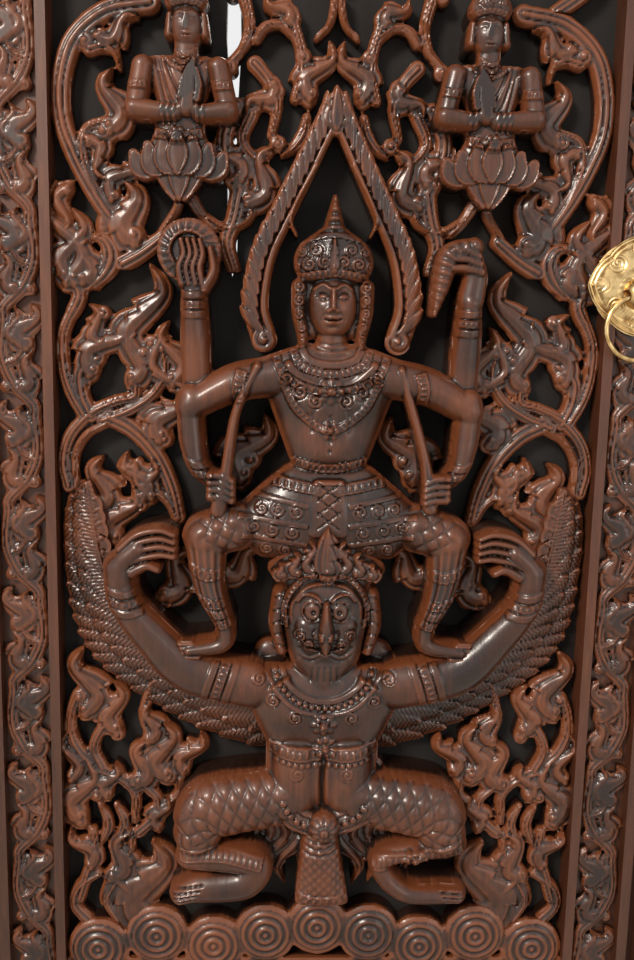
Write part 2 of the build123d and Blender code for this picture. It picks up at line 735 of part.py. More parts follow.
with BuildPart() as rail_pegs:
    for rail in rail_spans:
        for side in frame_sides:
            for share in rail_peg_shares:
                z = rail[0] + (rail[1] - rail[0]) * share
                with Locations(Plane((side * (panel_half + tenon_length / 2), leaf_back, z),
                                     z_dir=(0, -1, 0))):
                    Cylinder(peg_radius, leaf_back - rail_tenon_y[0],
                             align=(Align.CENTER, Align.CENTER, Align.MIN))
save(rail_pegs.part, "rail_pegs")

board_zone_z = (panel_bottom - board_housing, panel_top + board_housing)
board_zone_x = (-panel_half - board_housing, panel_half + board_housing)

for rail, name in zip(rail_spans, ("bottom_rail", "top_rail")):
    with BuildPart() as rail_part:
        box_between((-panel_half, panel_half), (stile_front, leaf_back), rail)
        rail_tenons(rail)
        box_between((-panel_half, panel_half), (board_front, leaf_back), board_zone_z, Mode.SUBTRACT)
        add(rail_pegs.part, mode=Mode.SUBTRACT)
    save(rail_part.part, name)

bolt_radius = 5
bolt_place = Plane((plate_x, bead_front, ring_axis_z), z_dir=(0, 1, 0))
bolt_washer_radius = 16
bolt_washer_thickness = 2.5
bolt_nut_width = 18
bolt_nut_height = 8
bolt_tail = 4
bolt_length = leaf_back + bolt_washer_thickness + bolt_nut_height + bolt_tail - bead_front

with BuildPart() as pull_bolt:
    with Locations(bolt_place):
        Cylinder(bolt_radius, bolt_length, align=(Align.CENTER, Align.CENTER, Align.MIN))
save(pull_bolt.part, "pull_bolt")

with BuildPart() as pull_washer:
    with Locations(bolt_place.offset(leaf_back - bead_front)):
        Cylinder(bolt_washer_radius, bolt_washer_thickness, align=(Align.CENTER, Align.CENTER, Align.MIN))
    add(pull_bolt.part, mode=Mode.SUBTRACT)
save(pull_washer.part, "pull_washer")

with BuildPart() as pull_nut:
    with BuildSketch(bolt_place.offset(leaf_back - bead_front + bolt_washer_thickness)):
        Rectangle(bolt_nut_width, bolt_nut_width)
    extrude(amount=bolt_nut_height)
    add(pull_bolt.part, mode=Mode.SUBTRACT)
save(pull_nut.part, "pull_nut")

for side, name in ((-1, "hinge_stile"), (1, "lock_stile")):
    with BuildPart() as stile:
        span = (side * panel_half, side * leaf_half)
        box_between((min(span), max(span)), (stile_front, leaf_back), (leaf_bottom, leaf_top))
        box_between(board_zone_x, (board_front, leaf_back), board_zone_z, Mode.SUBTRACT)
        for rail in rail_spans:
            rail_tenons(rail, joint_clearance, Mode.SUBTRACT)
        add(rail_pegs.part, mode=Mode.SUBTRACT)
        add(hinge_screws_leaf.part, mode=Mode.SUBTRACT)
        add(pull_bolt.part, mode=Mode.SUBTRACT)
    save(stile.part, name)

# Backing: four upright boards, with an open shrinkage joint beside the first, and three ledges
board_clearance = 1
low_z = board_zone_z[0] + board_clearance
high_z = board_zone_z[1] - board_clearance
low_x = board_zone_x[0] + board_clearance
high_x = board_zone_x[1] - board_clearance
crack_left = [(-109, 1160), (-114, 1184), (-116, 1300), (-113, 1352), (-117, 1412), (-115, 1500)]
crack_right = [(-109, 1160), (-104, 1186), (-101, 1296), (-104, 1345), (-101, 1402), (-103, 1500)]
nail_inset = 24
nail_tip = board_front + 3
nail_head_top = nail_head_radius * 0.6


def ledge_nail_places():
    """Two nails through every board at each ledge."""
    edges = (low_x,) + board_edges + (high_x,)
    for height in ledge_centres:
        for left, right in zip(edges, edges[1:]):
            yield left + nail_inset, height + ledge_height / 5
            yield right - nail_inset, height - ledge_height / 5


with BuildPart() as ledge_nails:
    for x, z in ledge_nail_places():
        with Locations(Plane((x, nail_tip, z), z_dir=(0, 1, 0))):
            Cylinder(nail_radius, leaf_back - nail_tip, align=(Align.CENTER, Align.CENTER, Align.MIN))
        with Locations(Plane((x, leaf_back, z), z_dir=(0, 1, 0))):
            Cone(nail_head_radius, nail_head_top, nail_head_height,
                 align=(Align.CENTER, Align.CENTER, Align.MIN))
save(ledge_nails.part, "ledge_nails")

board_outlines = (
    [(low_x, low_z), (board_edges[0], low_z)] + crack_left + [(crack_left[-1][0], high_z), (low_x, high_z)],
    [(board_edges[0], low_z), (board_edges[1], low_z), (board_edges[1], high_z),
     (crack_right[-1][0], high_z)] + list(reversed(crack_right)),
    [(board_edges[1], low_z), (board_edges[2], low_z), (board_edges[2], high_z), (board_edges[1], high_z)],
    [(board_edges[2], low_z), (high_x, low_z), (high_x, high_z), (board_edges[2], high_z)],
)
for number, corners in enumerate(board_outlines, start=1):
    with BuildPart() as board:
        with BuildSketch(facing(board_back)):
            with BuildLine():
                Polyline(*corners, close=True)
            make_face()
        extrude(amount=board_thickness)
        add(ledge_nails.part, mode=Mode.SUBTRACT)
    save(board.part, "backing_board_" + str(number))

for height, name in zip(ledge_centres, ("bottom", "middle", "top")):
    with BuildPart() as ledge:
        box_between((low_x, high_x), (board_back, leaf_back), grown((height, height), ledge_height / 2))
        add(ledge_nails.part, mode=Mode.SUBTRACT)
    save(ledge.part, "back_ledge_" + name)

# Square fillets planted beside the border and round the panel
for side, name in ((-1, "left"), (1, "right")):
    for start, width, kind in ((panel_half, bead_width, "inner"), (outer_bead, outer_bead_width, "outer")):
        with BuildPart() as bead:
            span = (side * start, side * (start + width))
            box_between((min(span), max(span)), (bead_front, stile_front), (leaf_bottom, trim_top))
        save(bead.part, kind + "_bead_" + name)

for base, name in ((panel_bottom - bead_width, "bottom"), (panel_top, "top")):
    with BuildPart() as bead:
        box_between((-panel_half, panel_half), (bead_front, stile_front), (base, base + bead_width))
    save(bead.part, "panel_bead_" + name)

# Border carving: a running vine with a leaf and a curl on alternate sides
border_unit = 105
border_units = 17
border_low = (leaf_bottom + trim_top - border_units * border_unit) / 2
border_middle = panel_half + bead_width + outer_bead_offset / 2
border_swing = 19
border_stem = 9


def border_faces(side):
    """One upright run of the border, unit by unit, each bent to the side opposite the last."""
    faces = []
    for unit in range(border_units):
        low = border_low + unit * border_unit
        lean = side * (1 if unit % 2 else -1)
        middle = side * border_middle
        bend = border_swing * lean
        curl = (middle - bend * 0.35, low + border_unit * 0.62)
        faces.append(band(
            [(middle - bend, low), (middle + bend * 0.45, low + border_unit * 0.2),
             (middle + bend, low + border_unit * 0.55), (middle + bend * 0.75, low + border_unit * 0.85),
             (middle + bend, low + border_unit)], border_stem, border_stem, 2))
        faces.append(band(
            [(middle + bend * 0.95, low + border_unit * 0.45), (middle + bend * 0.2, low + border_unit * 0.5),
             curl], border_stem, border_stem * 0.8))
        faces.append(disc(curl, border_stem * 0.75))
        faces.append(leaf_outline((middle - bend * 0.5, low + border_unit * 0.6),
                                  (middle - bend * 0.9, low + border_unit * 0.97), 19))
        faces.append(leaf_outline((middle - bend * 0.1, low + border_unit * 0.18),
                                  (middle - bend * 0.85, low + border_unit * 0.46), 15))
    return faces


for side, name in ((-1, "left"), (1, "right")):
    with BuildPart() as border:
        with BuildSketch(facing(stile_front)):
            add(border_faces(side))
        extrude(amount=stile_front - border_front)
        if side > 0:
            add(pull_bolt.part, mode=Mode.SUBTRACT)
    save(border.part, "border_carving_" + name)

# Scrollwork: pierced vines standing on the boards, cut clear of the figures
vines = {
    "scrollwork_lower": (stems_low, leaves_low, curls_low),
    "scrollwork_middle": (stems_middle, leaves_middle, curls_middle),
    "scrollwork_upper": (stems_top, leaves_top, curls_top),
    "scrollwork_crown": (stems_crown, leaves_crown, curls_crown),
}
half_joint = 0.01
half_panels = ((-1, "left", (-panel_half, -half_joint)), (1, "right", (0, panel_half)))
zone_edges = (panel_bottom, 790, 1176, 1452, panel_top)

for zone, (name, shapes) in enumerate(vines.items()):
    for side, side_name, x_zone in half_panels:
        lists = shapes if side < 0 else [mirrored(items) for items in shapes]
        with BuildPart() as scrollwork:
            with BuildSketch(facing(board_front)) as scroll_outline:
                add(vine_faces(*lists))
                with Locations(((x_zone[0] + x_zone[1]) / 2, (zone_edges[zone] + zone_edges[zone + 1]) / 2)):
                    Rectangle(x_zone[1] - x_zone[0], zone_edges[zone + 1] - zone_edges[zone],
                              mode=Mode.INTERSECT)
                for face in figure_roots:
                    add(face, mode=Mode.SUBTRACT)
            extrude(scroll_outline.sketch.faces(), amount=board_front - scroll_front)
        save(scrollwork.part, name + "_" + side_name)

# Cloud band along the foot of the panel: stepped round scrolls on a plain plinth
with BuildPart() as cloud_base:
    with BuildSketch(facing(board_front)):
        add(cloud_faces())
    extrude(amount=board_front - scroll_front)
    for step, share in enumerate(cloud_steps, start=1):
        with BuildSketch(facing(scroll_front)):
            for x, z in cloud_places:
                with Locations((x, z)):
                    Circle(cloud_radius * share)
            with Locations((0, panel_bottom + panel_top / 2)):
                Rectangle(2 * panel_half, panel_top, mode=Mode.INTERSECT)
        extrude(amount=step * cloud_step_height)
save(cloud_base.part, "cloud_base")

# Flame arch behind the standing figure's head, with a raised middle
arch_step = 5
arch_ridge = 0.6

with BuildPart() as flame_arch:
    with BuildSketch(facing(board_front)):
        add(arch_faces())
    extrude(amount=board_front - arch_front - arch_step)
    with BuildSketch(facing(arch_front + arch_step)):
        for line, foot in ((arch_line, arch_foot), (flip(arch_line), flip(arch_foot))):
            add(band(line, arch_width * arch_ridge, arch_tip_width * arch_ridge))
            add(disc(foot, arch_foot_radius * arch_ridge))
    extrude(amount=arch_step)
save(flame_arch.part, "flame_arch")

# Wings: three tiers of feathers, each standing over the one outside it
guardian_gap = guardian_root(carving_clearance)

for side, name in ((-1, "left"), (1, "right")):
    with BuildPart() as wing:
        for tier, share in enumerate(tier_shares):
            low = wing_front + tier_step * (len(tier_shares) - tier)
            with BuildSketch(facing(low if tier else board_front)) as feathers:
                add(wing_face(side, share))
                for face in guardian_gap:
                    add(face, mode=Mode.SUBTRACT)
            extrude(feathers.sketch.faces(), amount=tier_step if tier else board_front - low + tier_step)
    save(wing.part, "wing_" + name)

# Figures, each a stack of slices in front of its own timber
arch_levels = 3
arch_slices = [arch_faces(carving_clearance)] * arch_levels + [[]] * (len(level_depths) - arch_levels)
wing_slices = [[], [wing_face(-1, 0, carving_clearance), wing_face(1, 0, carving_clearance)]]
wing_slices += [[]] * (len(level_depths) - 2)
guardian_slices = figure_slices(guardian_forms, guardian_root())
guardian_room = figure_slices(guardian_forms, guardian_gap, carving_clearance)
rider_slices = figure_slices(rider_forms, rider_root())

with BuildPart() as guardian_figure:
    carved_figure(guardian_slices, [wing_slices])
save(guardian_figure.part, "guardian_figure")

with BuildPart() as rider_figure:
    carved_figure(rider_slices, [guardian_room, arch_slices])
save(rider_figure.part, "rider_figure")

for side, name in ((-1, "left"), (1, "right")):
    attendant_slices = figure_slices(attendant_forms(side), attendant_root(side))
    with BuildPart() as attendant:
        carved_figure(attendant_slices, [])
    save(attendant.part, "attendant_" + name)

# Pull: a lobed domed plate with a bored boss, its nails, and the ring that hangs in it
plate_back = Plane((plate_x, bead_front, plate_z), x_dir=(1, 0, 0), z_dir=(0, -1, 0))
plate_nail_radius = 1.5
plate_nail_head = 3
plate_nail_length = 5
bore_mouth = 7
bore_play = 0.35
boss_sink = 3
boss_lift = 2.5
dome_rim = 6
lobe_points = 4


def lobed_outline():
    """Eight round lobes, with a point at each side, the top and the bottom."""
    corners = []
    for corner in range(8):
        reach = plate_notch if corner % 2 else plate_tip
        corners.append((reach * cos(corner * pi / 4), reach * sin(corner * pi / 4)))
    with BuildLine() as outline:
        for start, end in zip(corners, corners[1:] + corners[:1]):
            SagittaArc(start, end, -lobe_points)
    return make_face(outline.edges(), mode=Mode.PRIVATE)


with BuildPart() as pull_nails:
    for quarter in range(4):
        reach = plate_tip - 2 * plate_nail_head
        place = (plate_x + reach * cos(quarter * pi / 2), bead_front - plate_thickness,
                 plate_z + reach * sin(quarter * pi / 2))
        with Locations(Plane(place, z_dir=(0, 1, 0))):
            Cylinder(plate_nail_radius, plate_thickness + plate_nail_length - 1,
                     align=(Align.CENTER, Align.CENTER, Align.MIN))
        with Locations(Plane(place, z_dir=(0, -1, 0))):
            Cone(plate_nail_head, plate_nail_radius, plate_nail_radius,
                 align=(Align.CENTER, Align.CENTER, Align.MIN))
save(pull_nails.part, "pull_nails")

with BuildPart() as pull_plate:
    with BuildSketch(plate_back):
        add(lobed_outline())
    extrude(amount=plate_thickness)
    dome_base = plate_notch - dome_rim
    dome_sphere = (dome_base**2 + dome_height**2) / 2 / dome_height
    with Locations((plate_x, bead_front - plate_thickness - dome_height + dome_sphere, plate_z)):
        Sphere(dome_sphere)
    with Locations((plate_x, bead_front - plate_thickness - boss_sink, ring_axis_z + boss_lift)):
        Sphere(boss_radius)
    box_between((0, 2 * plate_x), (bead_front, bead_front + 3 * dome_sphere),
                (plate_z - 4 * dome_sphere, plate_z + 4 * dome_sphere), Mode.SUBTRACT)
    for turn in (-1, 1):
        with Locations(Plane((plate_x, ring_axis_y, ring_axis_z), z_dir=(turn, 0, 0))):
            Cone(ring_wire + bore_play, bore_mouth, boss_radius, align=(Align.CENTER, Align.CENTER, Align.MIN),
                 mode=Mode.SUBTRACT)
    add(pull_nails.part, mode=Mode.SUBTRACT)
save(pull_plate.part, "pull_plate")

with BuildPart() as pull_ring:
    with Locations(Plane((plate_x, ring_axis_y, ring_axis_z - ring_radius), z_dir=(0, 1, 0))):
        Torus(ring_radius, ring_wire)
save(pull_ring.part, "pull_ring")
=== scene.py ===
import json
import bpy
import numpy as np
from mathutils import Matrix, Vector


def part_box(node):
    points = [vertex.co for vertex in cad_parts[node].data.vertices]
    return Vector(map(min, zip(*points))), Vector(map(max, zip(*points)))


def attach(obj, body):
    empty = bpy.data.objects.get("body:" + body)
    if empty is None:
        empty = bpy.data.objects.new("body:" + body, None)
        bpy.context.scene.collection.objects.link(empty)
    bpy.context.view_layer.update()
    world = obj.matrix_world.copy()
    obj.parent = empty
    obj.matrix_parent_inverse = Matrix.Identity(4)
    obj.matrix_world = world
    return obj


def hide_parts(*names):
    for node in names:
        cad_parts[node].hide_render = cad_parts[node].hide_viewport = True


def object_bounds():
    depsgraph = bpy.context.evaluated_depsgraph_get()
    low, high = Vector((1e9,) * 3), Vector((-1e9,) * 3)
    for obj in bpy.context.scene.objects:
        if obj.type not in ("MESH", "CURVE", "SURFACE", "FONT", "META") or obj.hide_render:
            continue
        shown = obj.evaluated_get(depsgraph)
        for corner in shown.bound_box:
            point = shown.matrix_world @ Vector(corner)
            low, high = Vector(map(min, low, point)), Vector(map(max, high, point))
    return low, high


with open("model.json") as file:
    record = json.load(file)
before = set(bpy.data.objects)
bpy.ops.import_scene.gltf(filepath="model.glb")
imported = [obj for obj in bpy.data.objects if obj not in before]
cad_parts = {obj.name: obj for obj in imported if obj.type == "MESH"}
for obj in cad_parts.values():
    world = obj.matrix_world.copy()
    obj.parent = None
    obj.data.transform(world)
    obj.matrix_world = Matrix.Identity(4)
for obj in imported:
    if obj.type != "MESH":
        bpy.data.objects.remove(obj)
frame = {"nodes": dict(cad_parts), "record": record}
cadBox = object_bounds()
print("frame loaded")

# Places and sizes in this script are in mm; mm turns them into metres when a mesh is made
mm = 0.001
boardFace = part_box("backing_board_1")[0][1] / mm    # the face of the boards that the carving stands on
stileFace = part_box("hinge_stile")[0][1] / mm        # the face of the stiles that the borders stand on
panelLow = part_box("panel_bead_bottom")[1][2] / mm
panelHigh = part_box("panel_bead_top")[0][2] / mm
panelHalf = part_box("inner_bead_right")[0][0] / mm

# A relief is a sheet of points over the door's face: cover is how far a point lies inside the
# carving, height is how far its surface stands in front of the timber behind


def startRelief(x, z, cell):
    # Even rows and columns of points, one cell apart
    columns = np.arange(x[0], x[1] + cell, cell)
    rows = np.arange(z[0], z[1] + cell, cell)
    gridX, gridZ = np.meshgrid(columns, rows)
    return {"x": gridX, "z": gridZ, "cell": cell,
            "cover": np.full(gridX.shape, -1000.0), "height": np.zeros(gridX.shape)}


def window(relief, low, high, pad=3.0):
    # The rows and columns that a shape between two corners can reach
    cell, cornerX, cornerZ = relief["cell"], relief["x"][0, 0], relief["z"][0, 0]
    rows, columns = relief["x"].shape
    first = [int((low[k] - pad - corner) / cell) for k, corner in ((0, cornerX), (1, cornerZ))]
    last = [int((high[k] + pad - corner) / cell) + 2 for k, corner in ((0, cornerX), (1, cornerZ))]
    return (slice(min(max(first[1], 0), rows), min(max(last[1], 0), rows)),
            slice(min(max(first[0], 0), columns), min(max(last[0], 0), columns)))


def around(relief, centre, reach):
    # The part of the sheet within reach of a centre, and how far each of its points lies from it
    area = window(relief, np.subtract(centre, reach), np.add(centre, reach))
    return area, relief["x"][area] - centre[0], relief["z"][area] - centre[1]


def lay(relief, area, cover, height, blend=0.0):
    # The higher face wins; an edge is spread over one cell, and blend rounds the valley where two meet
    oldCover, oldHeight = relief["cover"][area], relief["height"][area]
    share = np.clip(cover / relief["cell"] + 0.5, 0, 1)
    gap = height - oldHeight
    gain = np.maximum(gap, 0)
    if blend:
        gain = gain + np.clip(1 - np.abs(gap) / blend, 0, 1) ** 2 * blend / 4
    onBare = np.maximum(gap, 0) * (cover > 0)
    relief["height"][area] = oldHeight + np.where(oldCover <= 0, onBare, share * gain)
    relief["cover"][area] = np.maximum(oldCover, cover)


def lengthAlong(line):
    # The length of a line up to each of its points
    return np.concatenate([[0], np.cumsum(np.hypot(*np.diff(line, axis=0).T))])


def smoothLine(points, spacing=3.0):
    # A Catmull-Rom curve: each stretch is a cubic through its two points, aimed by their neighbours
    p = np.asarray(points, float)
    if len(p) == 2:
        return p[0] + np.linspace(0, 1, 3)[:, None] * (p[1] - p[0])
    wide = np.vstack([2 * p[0] - p[1], p, 2 * p[-1] - p[-2]])
    length = np.hypot(*np.diff(p, axis=0).T).sum()
    step = np.linspace(0, len(p) - 1, max(int(length / spacing), 2 * len(p)))
    k = np.minimum(step.astype(int), len(p) - 2)
    f = (step - k)[:, None]
    a, b, c, d = wide[k], wide[k + 1], wide[k + 2], wide[k + 3]
    return 0.5 * (2 * b + (c - a) * f + (2 * a - 5 * b + 4 * c - d) * f**2 + (3 * b - a - 3 * c + d) * f**3)


def follow(relief, line, reach):
    # For every point near a line: the share along it, the length along it, and the distance to its side
    area = window(relief, line.min(axis=0) - reach, line.max(axis=0) + reach)
    x, z = relief["x"][area][..., None], relief["z"][area][..., None]
    start, run = line[:-1], np.diff(line, axis=0)
    size = np.maximum((run**2).sum(axis=1), 1e-9)
    f = np.clip(((x - start[:, 0]) * run[:, 0] + (z - start[:, 1]) * run[:, 1]) / size, 0, 1)
    dx, dz = x - start[:, 0] - f * run[:, 0], z - start[:, 1] - f * run[:, 1]
    near = (dx**2 + dz**2).argmin(axis=-1)[..., None]
    pick = lambda values: np.take_along_axis(values, near, axis=-1)[..., 0]
    lengths = np.sqrt(size)
    before = np.concatenate([[0], np.cumsum(lengths)])
    along = before[near[..., 0]] + pick(f) * lengths[near[..., 0]]
    turn = run[:, 0][near[..., 0]] * pick(dz) - run[:, 1][near[..., 0]] * pick(dx)
    off = np.where(turn >= 0, 1, -1) * np.hypot(pick(dx), pick(dz))
    return area, along / before[-1], along, off


def groove(u, place, width=0.13):
    # A rounded furrow: a bell curve about its place across the band
    return np.exp(-(((u - place) / width) ** 2))


def twoFurrows(u, share, along):
    # Two rounded furrows a third of the way out from the middle line
    return -2.6 * (groove(u, 0.36) + groove(u, -0.36))


def ribbon(relief, points, width, edge, rise, section=None):
    # A band along a curve: half an ellipse across it, plus whatever is cut into it. The width goes
    # evenly from its first value to its second, and the third swells the middle by half a sine wave
    start, end, swell = (tuple(width) + (0,))[:3]
    line = smoothLine(points)
    area, share, along, off = follow(relief, line, (max(start, end) + swell) / 2 + 2)
    half = (start + (end - start) * share + swell * np.sin(np.pi * share)) / 2
    u = np.clip(off / half, -1, 1)
    height = edge + rise * np.sqrt(1 - 0.96 * u**2)
    if section:
        height = height + section(u, share, along)
    lay(relief, area, half - np.abs(off), height)


def flameLeaf(relief, base, tip, width, edge, rise, bend=0.12, barbs=3):
    # A flame: a drop shape whose middle line is an S, with notches in the rim of its outer side only.
    # Across it the height is a flattened arch with a furrow parallel to the rim and a ridge in the middle
    base, tip = np.array(base, float), np.array(tip, float)
    run = tip - base
    across = np.array([run[1], -run[0]])
    line = smoothLine([base, base + 0.3 * run + 1.6 * bend * across,
                       base + 0.72 * run - 1.2 * bend * across, tip], 2.0)
    area, share, along, off = follow(relief, line, width * 0.8)
    outer = off * np.sign(bend or 1) < 0
    wave = (share * barbs) % 1
    body = np.sin(np.pi * np.clip(share, 0.02, 1) ** 0.5) ** 0.7 + 0.07
    notch = 1 - 0.46 * wave**2 * (share < 0.97)
    half = width * 0.6 * body * np.where(outer, notch, 0.8)
    u = np.clip(np.abs(off) / half, 0, 1)
    height = edge + rise * (1 - u**2.4) ** 0.5 - 2.6 * groove(u, 0.58, 0.13) + 1.2 * groove(u, 0, 0.16)
    height = height - 2.0 * groove((wave - 0.02) % 1, 0, 0.1) * outer * (u > 0.5) * (share > 0.1)
    lay(relief, area, half - np.abs(off), height)
    if width > 15:
        volute(relief, base + 0.1 * run, width * 0.27, edge + 1.5, rise, np.sign(bend or 1))


def volute(relief, centre, radius, edge, rise, turn=1):
    # A round curl: a dome with a spiral furrow that runs out from its eye
    area, dx, dz = around(relief, centre, radius)
    r = np.hypot(dx, dz)
    phase = r / (radius * 0.62) - turn * np.arctan2(dz, dx) / (2 * np.pi)
    furrow = np.exp(-(((phase % 1) - 0.5) / 0.16) ** 2) * (r > radius * 0.2)
    height = edge + rise * np.sqrt(np.clip(1 - 0.8 * (r / radius) ** 2, 0, 1)) - 2.2 * furrow
    height = height + 2 * np.clip(1 - r / (radius * 0.3), 0, 1)
    lay(relief, area, radius - r, height)


def mound(relief, centre, size, edge, rise, power):
    # Part of an egg: the height falls off as a power of one minus the squared distance from its middle
    area, dx, dz = around(relief, centre, max(size))
    q = (dx / size[0]) ** 2 + (dz / size[1]) ** 2
    lay(relief, area, (1 - np.sqrt(q)) * min(size), edge + rise * np.clip(1 - q, 0, 1) ** power)


def dent(relief, centre, size, depth):
    # A hollow pressed into what is there, a bell curve in both directions; a negative depth raises it
    area, dx, dz = around(relief, centre, 2 * max(size))
    relief["height"][area] -= depth * np.exp(-((dx / size[0]) ** 2 + (dz / size[1]) ** 2))


def scratch(relief, points, width, depth):
    # A furrow along a curve, cut into what is there; a negative depth raises a cord
    line = smoothLine(points, 2.0)
    area, share, along, off = follow(relief, line, width * 2.5)
    ends = np.clip(np.minimum(share, 1 - share) * 12, 0, 1)
    relief["height"][area] -= depth * np.exp(-((off / width) ** 2)) * ends * (relief["cover"][area] > 0)


def limb(relief, circles, edge, reach, pattern=None, blend=4.0, tall=None):
    # A tapering round bar through circles (x, z, radius): an ellipse across it at every point. Its reach
    # in front of the edge goes evenly to tall, where that is given
    circles = np.asarray(circles, float)
    line = circles[:, :2] if len(circles) == 2 else smoothLine(circles[:, :2])
    area, share, along, off = follow(relief, line, circles[:, 2].max())
    steps = lengthAlong(circles[:, :2])
    radius = np.interp(share, steps / steps[-1], circles[:, 2])
    u = np.clip(off / radius, -1, 1)
    lift = reach if tall is None else reach + (tall - reach) * share
    height = edge + lift * np.sqrt(1 - 0.97 * u**2)
    if pattern:
        height = height + pattern(u, share, along)
    lay(relief, area, radius - np.abs(off), height, blend)


def roughen(relief, seed, size=9.0, amount=0.35):
    # The uneven cut of a hand tool: random heights on a coarse grid, joined smoothly
    rows, columns = relief["x"].shape
    step = max(int(size / relief["cell"]), 2)
    rng = np.random.default_rng(seed)
    coarse = rng.uniform(-1, 1, (rows // step + 3, columns // step + 3))
    r, c = np.arange(rows) / step, np.arange(columns) / step
    i, j = r.astype(int), c.astype(int)
    fr, fc = r - i, c - j
    fr, fc = (fr * fr * (3 - 2 * fr))[:, None], (fc * fc * (3 - 2 * fc))[None, :]
    low = coarse[i][:, j] * (1 - fc) + coarse[i][:, j + 1] * fc
    high = coarse[i + 1][:, j] * (1 - fc) + coarse[i + 1][:, j + 1] * fc
    relief["height"] += amount * (low * (1 - fr) + high * fr)


def blurred(values, times):
    # Repeated mean of each point, counted twice, and its four neighbours
    for _ in range(times):
        p = np.pad(values, 1, mode="edge")
        values = (2 * values + p[:-2, 1:-1] + p[2:, 1:-1] + p[1:-1, :-2] + p[1:-1, 2:]) / 6
    return values


def outline(keep, number):
    # The edges between a kept cell and a dropped one, each as the numbers of its two points
    lined = np.pad(keep, 1)
    edges = []
    for beside, a, b in ((lined[:-2, 1:-1], number[:-1, :-1], number[:-1, 1:]),
                         (lined[1:-1, 2:], number[:-1, 1:], number[1:, 1:]),
                         (lined[2:, 1:-1], number[1:, 1:], number[1:, :-1]),
                         (lined[1:-1, :-2], number[1:, :-1], number[:-1, :-1])):
        rim = keep & ~beside
        edges.append(np.stack([a[rim], b[rim]], axis=-1))
    return np.vstack(edges)


def evened(edges, *values):
    # Each point of the outline moves halfway to the mean of its neighbours on the outline, four times
    count = np.bincount(edges.ravel(), minlength=len(values[0]))
    for repeat in range(4):
        for value in values:
            total = np.bincount(edges.ravel(), weights=value[edges[:, ::-1]].ravel(), minlength=len(value))
            value[count > 0] = 0.5 * value[count > 0] + 0.5 * (total / np.maximum(count, 1))[count > 0]
    return values


def newMesh(name, points, faces, hollow):
    # Points in mm and faces of four corners make a smooth mesh that keeps how hollow each point is
    mesh = bpy.data.meshes.new(name)
    mesh.vertices.add(len(points))
    mesh.vertices.foreach_set("co", (points * mm).astype(np.float32).ravel())
    mesh.loops.add(faces.size)
    mesh.loops.foreach_set("vertex_index", faces.astype(np.int32).ravel())
    mesh.polygons.add(len(faces))
    mesh.polygons.foreach_set("loop_start", np.arange(0, faces.size, 4, dtype=np.int32))
    mesh.update(calc_edges=True)
    mesh.validate()
    mesh.polygons.foreach_set("use_smooth", np.ones(len(mesh.polygons), dtype=bool))
    stored = mesh.attributes.new("hollow", "FLOAT", "POINT")
    stored.data.foreach_set("value", hollow.astype(np.float32).ravel())
    return mesh


# How a sheet becomes a mesh: how far an outer point may be drawn in (in cells), the least height, how
# far a wall sinks into the timber, how deep a hollow is before its painted shade is full, how dark the
# painted shade at a wall's far edge is, and the angle (in degrees) past which an edge is shaded sharp
carving = {"drawIn": 1.45, "least": 0.5, "sink": 0.3, "hollow": 2.8, "wallFootShade": 3.0, "sharp": 62}


def carve(relief, name, node, slotName, face):
    # The sheet becomes a mesh: the cells inside the carving, their outer points drawn onto its true
    # outline, and straight walls from that outline back to the timber. It never stands prouder than
    # the plain CAD form it takes the place of
    cover, height, cell = relief["cover"], relief["height"], relief["cell"]
    inside = cover > 0
    keep = inside[:-1, :-1] | inside[1:, :-1] | inside[:-1, 1:] | inside[1:, 1:]
    wide = np.pad(np.where(inside, height, np.inf), 1, constant_values=np.inf)
    lowest = np.min([wide[r:r + height.shape[0],
                          c:c + height.shape[1]] for r in range(3) for c in range(3)],
                    axis=0)
    level = np.where(inside, height, lowest)
    slopeZ, slopeX = np.gradient(np.clip(cover, -3 * cell, 6 * cell), cell)
    steep = np.maximum(slopeX**2 + slopeZ**2, 0.15)
    pull = np.where(inside, 0, np.clip(-cover, 0, carving["drawIn"] * cell))
    x = relief["x"] + pull * slopeX / steep
    z = relief["z"] + pull * slopeZ / steep
    level = np.clip(level, carving["least"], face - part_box(node)[0][1] / mm)
    # Painted shade: a point that lies lower than the blurred height around it gets a darker tone, and a
    # ridge a paler one as wear
    spread = blurred(np.where(inside, height, 0), 4)
    hollow = blurred(np.where(inside, height, spread), 7) - level
    tone = np.clip(hollow / carving["hollow"], -1, 1)

    size = cover.size
    number = np.arange(size).reshape(cover.shape)
    quads = np.stack([number[:-1, :-1], number[:-1, 1:], number[1:, 1:], number[1:, :-1]], axis=-1)[keep]
    edges = outline(keep, number)
    walls = np.stack([edges[:, 1], edges[:, 0], edges[:, 0] + size, edges[:, 1] + size], axis=-1)
    x, z, level, tone = evened(edges, x.ravel(), z.ravel(), level.ravel(), tone.ravel())
    used, faces = np.unique(np.vstack([quads, walls]), return_inverse=True)
    faces = faces.reshape(-1, 4)
    top, flat = used < size, used % size
    depth = np.where(top, face - level[flat], face + carving["sink"])
    mesh = newMesh(name, np.stack([x[flat], depth, z[flat]], axis=-1), faces,
                   # Painted shade: the far edge of every wall, down at the timber, gets the full dark tone
                   np.where(top, tone[flat], carving["wallFootShade"]))
    mesh.set_sharp_from_angle(angle=np.radians(carving["sharp"]))
    piece = bpy.data.objects.new(name, mesh)
    bpy.context.collection.objects.link(piece)
    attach(piece, "leaf")
    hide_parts(node)
    mesh.materials.append(finishes[slotName])
    print(name, len(faces) * 2, "triangles")
